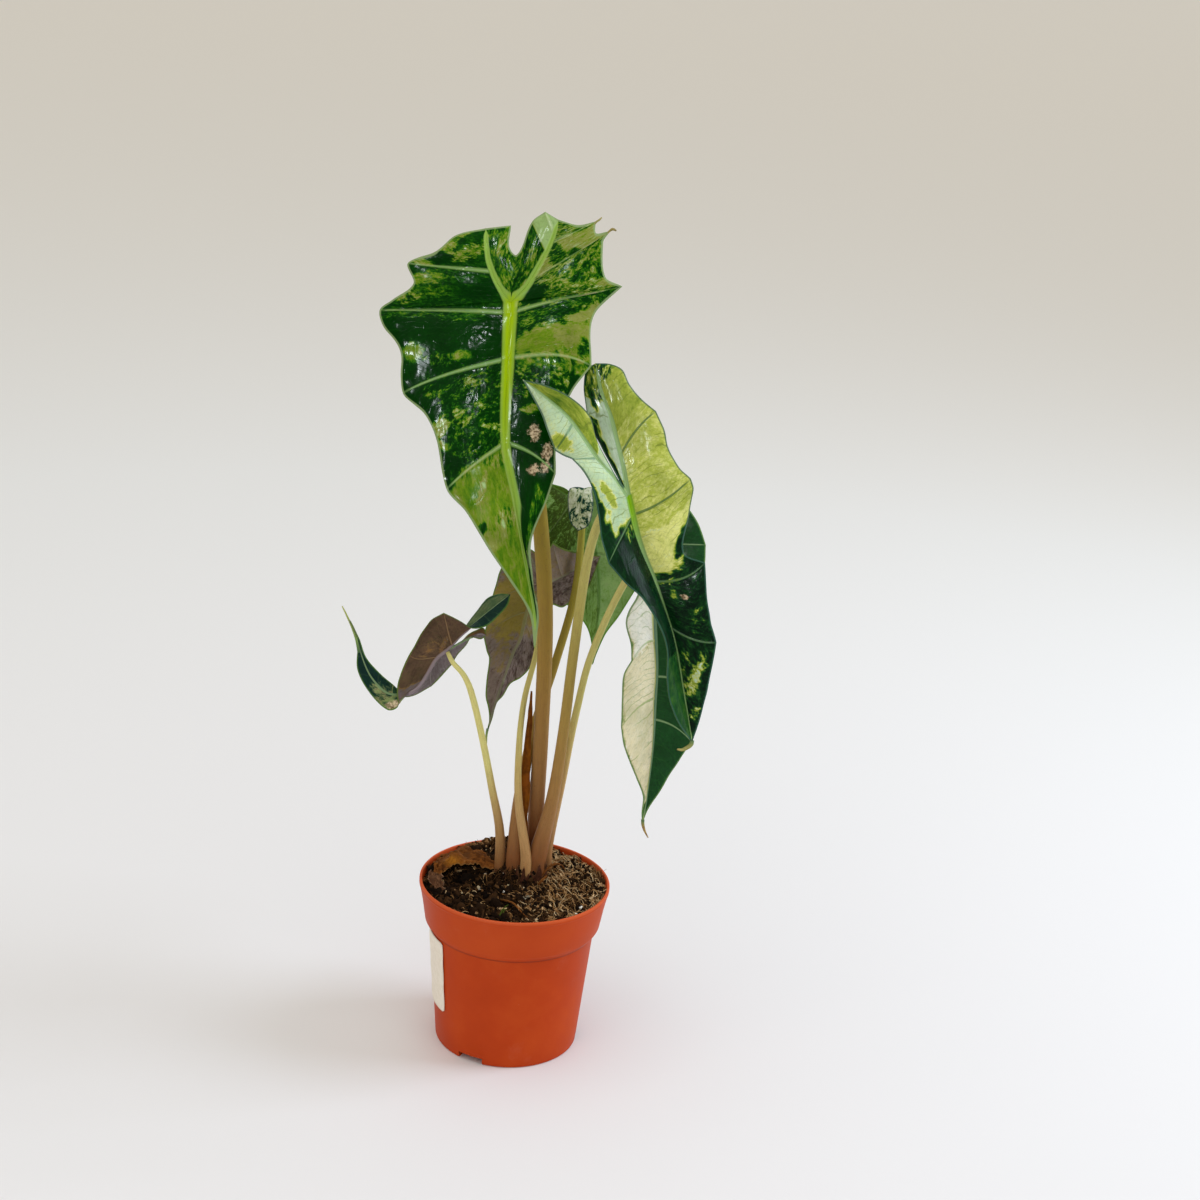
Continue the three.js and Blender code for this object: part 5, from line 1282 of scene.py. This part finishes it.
def add_fibres():
    """Thin dry roots and peat fibres, most of them at the right, and shreds round the crown."""
    random = np.random.default_rng(8)
    fibres = Heap()
    for _ in range(2900):
        x, y = scatter_place(random, 9.0)
        right = smooth_step(x + 0.25 * y, -6, 16)
        if random.uniform() > 0.34 + 0.66 * right:
            continue
        combed = random.uniform() < 0.7
        heading = math.radians(-58) + random.normal(0, 0.55) if combed else random.uniform(0, 6.28)
        length = random.uniform(4, 9 + 11 * right)
        path = lying_path(random, x, y, heading, length, 0.09, random.uniform(0.1, 2.2))
        pale = random.uniform() < 0.2 + 0.35 * right + 0.2 * (x > 15 and y > 15)
        tone = random.uniform(0.55, 1.0) if pale else random.uniform(0.0, 0.45)
        strand(fibres, path, random.uniform(0.12, 0.3) + 0.1 * pale, tone)
    for _ in range(190):
        angle, away = random.uniform(0, 2 * math.pi), random.uniform(7, 14)
        heading = angle + random.normal(0, 0.8)
        path = lying_path(random, *round_place(angle, away, CROWN), heading, random.uniform(4, 11), 0.4,
                          random.uniform(0.4, 3.4))
        strand(fibres, path, random.uniform(0.2, 0.6), random.uniform(0.05, 0.55))
    # Tufts that stand up at the rim, at the right and at the back.
    for _ in range(170):
        right = random.uniform() < 0.3
        angle = math.radians(random.normal(20, 3) if right else random.uniform(80, 128))
        x, y = round_place(angle, random.uniform(54 if right else 51, SOIL_REACH + 0.4))
        lean = random.normal(0, 0.35, 2)
        tall = random.uniform(2.5, 6 if right else 5)
        z = top_height(x, y)
        path = [(x + lean[0] * t * tall, y + min(lean[1], 0.1) * t * tall, z + t * tall)
                for t in np.linspace(0, 1, 4)]
        strand(fibres, path, random.uniform(0.15, 0.4), random.uniform(0.25, 0.75))
    stops = [(0.0, "150d06"), (0.3, "3a2514"), (0.5, "704c2c"), (0.7, "a67c4c"), (0.9, "cca878"),
             (1.0, "e8cfa4")]
    fibres.add("soil_fibres", crumb_shader("fibres", stops), "soil")
    # Green tufts: two strands in front, and moss at the back of the rim.
    greens, random = Heap(), np.random.default_rng(5)
    for path in ([(-6.3, -48, 106.4), (-5, -43, 108.2), (-3.2, -39, 108.8), (-1.7, -36.7, 109)],
                 [(-4.6, -46, 106.4), (-4, -42.6, 107.6), (-2.2, -40, 107.8)]):
        strand(greens, path, 0.55, 0.6)
    for _ in range(46):
        x, y = round_place(math.radians(random.uniform(88, 126)), random.uniform(53, SOIL_REACH))
        z = top_height(x, y)
        strand(greens, [(x, y, z), (x + random.normal(0, 0.5), y, z + random.uniform(1.5, 3.4))], 0.4,
               random.uniform(0, 0.5))
    greens.add("soil_moss", crumb_shader("moss", [(0.0, "1a1d0c"), (0.5, "3a4416"), (1.0, "5d7a26")]), "soil")


def corm_shader():
    s = Shader("corm_skin", 0.03)
    base = s.ramp(s.noise(130, 7.0, 0.7), [(0.3, "150d09"), (0.5, "2a1b14"), (0.65, "452f22"), (0.8, "6a4c34")])
    x, y, z = s.add("SeparateXYZ", {"Vector": s.place}).outputs
    level = s.vector(s.times(x, 60), s.times(y, 60), s.times(z, 700))
    rings = s.noise(1.0, 4.0, 0.6, level)
    base = s.mix(s.fade(rings, 0.5, 0.7, 0.0, 0.4), base, "7a5a38")
    return s.finish(base, 0.8, s.bump(s.plus(rings, s.noise(500, 4.0)), 0.0014, 1.0))


def add_corm():
    curve = curve_through([(0, r, z) for r, z in CORM_PROFILE])
    rows = curve(np.linspace(0, len(CORM_PROFILE) - 1, 60))[:, 1:]
    profile = [CORM_PROFILE[0]] + [(max(r, 0.3), z) for r, z in rows[1:-1]] + [CORM_PROFILE[-1]]
    points, faces = turned(profile, 96)
    angle = np.arctan2(points[:, 1], points[:, 0])
    lumps = 0.5 * np.sin(5 * angle + 0.3 * points[:, 2]) + 0.5 * lattice_noise(9 * angle, points[:, 2], 3, 11)
    scale = 0.93 + 0.06 * lumps
    points[:, :2] = points[:, :2] * scale[:, None] + np.array(CROWN)
    add_piece("corm_body", points, faces, [corm_shader()], "corm", "corm")


# --- dried leaf pieces ------------------------------------------------------------------------------------

def dried_shader(name, stops, spot, rim, amber=None):
    """Dead tissue with veins along it, spots of one colour, a paler border and perhaps an amber place."""
    s = Shader(name, 0.06)
    along, across = s.value("along"), s.value("across")
    streaks = s.noise(1.0, 6.0, 0.65, s.vector(s.times(across, 14), s.times(along, 3), 0.0))
    mixed = s.plus(s.times(streaks, 0.5), s.times(s.noise(140, 6.0, 0.7), 0.5))
    base = s.ramp(mixed, stops)
    base = s.mix(s.fade(s.noise(55, 3.0, 0.6), 0.56, 0.66, 0.0, 0.8), base, spot)
    if amber:
        away = s.add("VectorMath", {0: s.place, 1: amber}, operation="DISTANCE").outputs["Value"]
        away = s.plus(away, s.times(s.noise(180, 4.0, 0.6), 0.006))
        base = s.mix(s.fade(away, 0.005, 0.011, 0.85, 0.0), base, "a4691a")
    border = s.math("MINIMUM", across, s.minus(1.0, across))
    base = s.mix(s.fade(border, 0.0, 0.04, 0.5, 0.0), base, rim)
    return s.finish(base, 0.7, s.bump(mixed, 0.0016, 0.8))


def fine_rows(rows, count, columns, seed, wrinkle, ragged=0.0):
    """A grid of points made finer along smooth curves, wrinkled, and torn along its sides."""
    curves = [curve_through(row) for row in np.array(rows, float)]
    last = len(rows[0]) - 1
    across = np.stack([read(np.linspace(0, last, columns)) for read in curves])
    steps = np.linspace(0, len(rows) - 1, count)
    fine = np.stack([curve_through(across[:, c])(steps) for c in range(columns)], 1)
    i, j = np.meshgrid(np.arange(count), np.arange(columns), indexing="ij")
    line = np.arange(count)
    torn = lattice_noise(line, 0 * line, 5.0, seed + 50) + lattice_noise(line, 0 * line, 2.0, seed + 51)
    torn = ragged * torn
    middle = fine[:, columns // 2][:, None]
    fine = middle + (fine - middle) * (1 - np.abs(torn))[:, None, None]
    for k, cell in enumerate((9.0, 4.0, 2.0)):
        for axis in range(3):
            fine[..., axis] += wrinkle / (k + 1) * lattice_noise(i, j, cell, seed + 3 * k + axis)
    return fine


# The dried sheath, from its top down: x and y of its two edges, and z.
SHEATH = [
    [2, 17.6, 2.8, 17.8, 229], [1, 16.5, 4, 16.5, 210], [0, 15.5, 4.4, 16, 190], [-1.2, 12.5, 5, 15, 171],
    [-1, 9.4, 5.6, 13, 157], [2.2, 8.3, 5, 9.8, 147], [3.8, 7.9, 6, 9, 134], [5.2, 8.8, 6.8, 9.2, 116.4],
]
# The dried leaf, from the rim to the crown: across it, x, y and how far it stands off the soil.
LITTER = [
    [[-53, 19, 2.0], [-53, 12, 4.0], [-52, 5, 4.5], [-50, -1, 3.0]],
    [[-50, 29, 1.5], [-48, 19, 5.0], [-46, 9, 6.5], [-44, 0, 5.0]],
    [[-42, 37, 1.5], [-41, 28, 5.5], [-40, 19, 6.5], [-37, 9, 6.0]],
    [[-33, 41, 1.5], [-32, 32, 5.5], [-31, 22, 6.0], [-28, 11, 5.0]],
    [[-24, 37, 1.0], [-23, 30, 3.0], [-22, 22, 3.5], [-20, 12, 3.5]],
    [[-16, 25, 1.0], [-15, 21, 2.0], [-14, 16, 2.0], [-12, 11, 2.0]],
]
# A second dried flap before it, the same way.
FLAP = [
    [[-54, -2, 4.6], [-52, -3, 5.4], [-49, -2, 5.6], [-46, 0, 4.4]],
    [[-54, -7, 3.6], [-52, -8, 4.6], [-48, -7, 4.6], [-45, -5, 2.6]],
    [[-52, -12, 2.5], [-50, -13, 3.4], [-47, -12, 3.2], [-44, -10, 1.4]],
    [[-49, -17, 1.0], [-47, -18, 1.4], [-44, -17, 1.2], [-42, -16, 0.8]],
]
# Torn husks round the stalks' feet: x and y of the middle, radius, from angle, to angle, low and high end.
HUSKS = [[11.5, 8, 7.9, -110, 35, 104, 120], [5, 3, 5.4, -178, -45, 104, 119],
         [-2, 8, 7.2, -210, -95, 103, 113], [-10, 12, 4.8, -170, -30, 103, 111]]
# Curled strips of dead leaf base at the right of the crown, and a twig in front of it: x, y, z and radius.
CURLS = {
    "dried_curl_right": [[14, 2, 108, 0.5], [17, 4, 112, 0.7], [20.5, 7, 115, 0.6], [25, 11, 116, 0.7],
                         [29, 14, 113.5, 0.5], [30.5, 16, 110, 0.3]],
    "dried_curl_low": [[15, -2, 106.5, 0.4], [17, 0, 109, 0.6], [19.5, 4, 110, 0.5], [20, 9, 107.5, 0.3]],
    "dried_twig": [[-9, -27, 107.2, 0.3], [-4, -30, 108.2, 0.45], [1, -33, 108.4, 0.4], [6, -41, 107.6, 0.5],
                   [11, -48, 106.4, 0.4]],
}


def add_dried():
    sheath = [[(x0, y0, z), ((x0 + x1) / 2, (y0 + y1) / 2 - 0.12 * (x1 - x0), z), (x1, y1, z)]
              for x0, y0, x1, y1, z in SHEATH]
    brown = [(0.3, "341a04"), (0.5, "6c3a06"), (0.65, "96580c"), (0.8, "c08828")]
    sheet_piece("dried_sheath", fine_rows(sheath[::-1], 120, 12, 31, 0.2), 0.25,
                dried_shader("dried_sheath", brown, "8a4a10", "b5843c"), "dried_leaf", "sheath")
    dull = [(0.3, "241204"), (0.44, "58300c"), (0.58, "88501c"), (0.8, "b88a50")]
    material = dried_shader("dried_leaf", dull, "4a2a0e", "a07a48", amber=(-0.0405, 0.011, 0.112))
    pink = [(0.3, "24140a"), (0.48, "5c3c26"), (0.62, "8e6446"), (0.8, "b8906c")]
    flap_material = dried_shader("dried_flap", pink, "6a4630", "c8a68c")
    for name, rows, node, counts, look in (("dried_leaf", LITTER, "litter", (110, 44), material),
                                           ("dried_flap", FLAP, None, (44, 26), flap_material)):
        placed = [[(x, y, soil_height(x, y) + lift) for x, y, lift in row] for row in rows]
        sheet_piece(name, fine_rows(placed[::-1], *counts, 41, 1.25, 0.08), 0.2, look, "dried_leaf", node)
    dark = [(0.3, "1c0e08"), (0.5, "482818"), (0.65, "74442c"), (0.8, "a47650")]
    husk_material = dried_shader("dried_husk", dark, "5a3a30", "946e4c")
    for number, (x, y, radius, first, last, low, high) in enumerate(HUSKS):
        rows = []
        for k, angle in enumerate(np.radians(np.linspace(first, last, 7))):
            top = high - (high - low) * (0.5 * (k % 2) + 0.25 * (k % 3 == 0))
            edge = ((radius, low), (radius, low * 0.6 + top * 0.4), (radius * 0.94 + 0.3, top))
            rows.append([(*round_place(angle, away, (x, y)), z) for away, z in edge])
        rows = fine_rows(rows, 70, 18, 60 + number, 0.35, 0.2)
        sheet_piece(f"dried_husk_{number}", rows, 0.15, husk_material, "dried_leaf")

    def curled(share, angle, length):
        return 1 + 0.5 * np.cos(2 * angle + 5 * share) + 0.2 * np.sin(70 * share + angle)

    for name, path in CURLS.items():
        points, faces, values = tube(path, 12, 0.8, curled)
        values["across"] = (1 + np.cos(values.pop("round"))) / 2
        add_piece(name, points, faces, [material], "dried_leaf", values=values)


add_soil()
add_crumbs()
add_fibres()
add_corm()
add_dried()


# --- floor, light and camera ------------------------------------------------------------------------------

def add_floor():
    mesh = bpy.data.meshes.new("floor")
    reach = 400.0
    corners = [(-reach, -reach, 0), (reach, -reach, 0), (reach, reach, 0), (-reach, reach, 0)]
    mesh.from_pydata(corners, [], [(0, 1, 2, 3)])
    s = Shader("floor_paper", 0.2)
    # Painted light: the floor's colour is a little darker and cooler near the middle and warmer far off,
    # standing in for how the room's light falls on it.
    away = s.add("VectorMath", {0: s.place}, operation="LENGTH").outputs["Value"]
    base = s.ramp(s.fade(s.math("LOGARITHM", s.plus(away, 0.1), 10.0), -0.5, 1.2),
                  [(0.0, "e9e8ea"), (0.35, "f1f2f3"), (0.7, "f3f1ed"), (1.0, "f3efe8")])
    mesh.materials.append(s.finish(base, 0.7))
    floor = bpy.data.objects.new("floor", mesh)
    bpy.context.scene.collection.objects.link(floor)


# Area lights: where each is and where it points, in metres, its width and height, its power and tint, and
# whether it lights the surfaces or only shows as a glint on glossy ones.
LIGHTS = {
    "key": ((1.5, 0.15, 1.45), (0, 0, 0.25), (0.9, 0.9), 20, (0.76, 0.86, 1.0), True),
    "fill": ((-1.2, -3.2, 2.6), (0, 0, 0.3), (2.4, 2.4), 8, (0.97, 0.98, 1.0), True),
    "above": ((-0.4, -0.3, 1.6), (0, 0, 0.1), (1.1, 1.1), 3.6, (1.0, 0.96, 0.9), True),
    "window": ((-1.0, -1.9, 1.25), (0, 0, 0.45), (0.06, 0.24), 30, (0.88, 0.95, 1.0), False),
    "window_right": ((0.25, -1.9, 1.65), (0, 0, 0.4), (0.06, 0.24), 20, (0.9, 0.96, 1.0), False),
}
WORLD_COLOUR, WORLD_STRENGTH = (1.0, 0.965, 0.89, 1), 0.69
# The photo's viewpoint: what the camera looks at and from how far, in metres, how steeply, and its roll.
TARGET, DISTANCE = (0.04065, 0, 0.29735), 1.20335
LOOKING_DOWN, ROLL = math.radians(18.05), math.radians(4.21)


def add_light(name, place, target, size, power, tint, soft):
    light = bpy.data.lights.new(name, "AREA")
    light.shape, light.size, light.size_y = "RECTANGLE", *size
    light.energy, light.color = power, tint
    lamp = bpy.data.objects.new(name, light)
    lamp.location = place
    lamp.rotation_euler = (Vector(target) - Vector(place)).to_track_quat("-Z", "Y").to_euler()
    lamp.visible_diffuse = soft
    bpy.context.scene.collection.objects.link(lamp)


def add_camera():
    ahead = Vector((0, math.cos(LOOKING_DOWN), -math.sin(LOOKING_DOWN)))
    right = Vector((1, 0, 0))
    up = right.cross(ahead)
    turned_right = right * math.cos(ROLL) + up * math.sin(ROLL)
    turned_up = up * math.cos(ROLL) - right * math.sin(ROLL)
    camera = bpy.data.objects.new("camera", bpy.data.cameras.new("camera"))
    camera.data.lens, camera.data.sensor_width, camera.data.clip_end = 60, 36, 900
    place = Vector(TARGET) - ahead * DISTANCE
    basis = Matrix((turned_right, turned_up, -ahead)).transposed()
    camera.matrix_world = Matrix.Translation(place) @ basis.to_4x4()
    bpy.context.scene.collection.objects.link(camera)
    bpy.context.scene.camera = camera


world = bpy.data.worlds.new("studio")
bpy.context.scene.world = world
world.use_nodes = True
background = world.node_tree.nodes["Background"]
background.inputs["Color"].default_value = WORLD_COLOUR
background.inputs["Strength"].default_value = WORLD_STRENGTH
add_floor()
for name, row in LIGHTS.items():
    add_light(name, *row)
bpy.context.scene.view_settings.view_transform = "Standard"
add_camera()
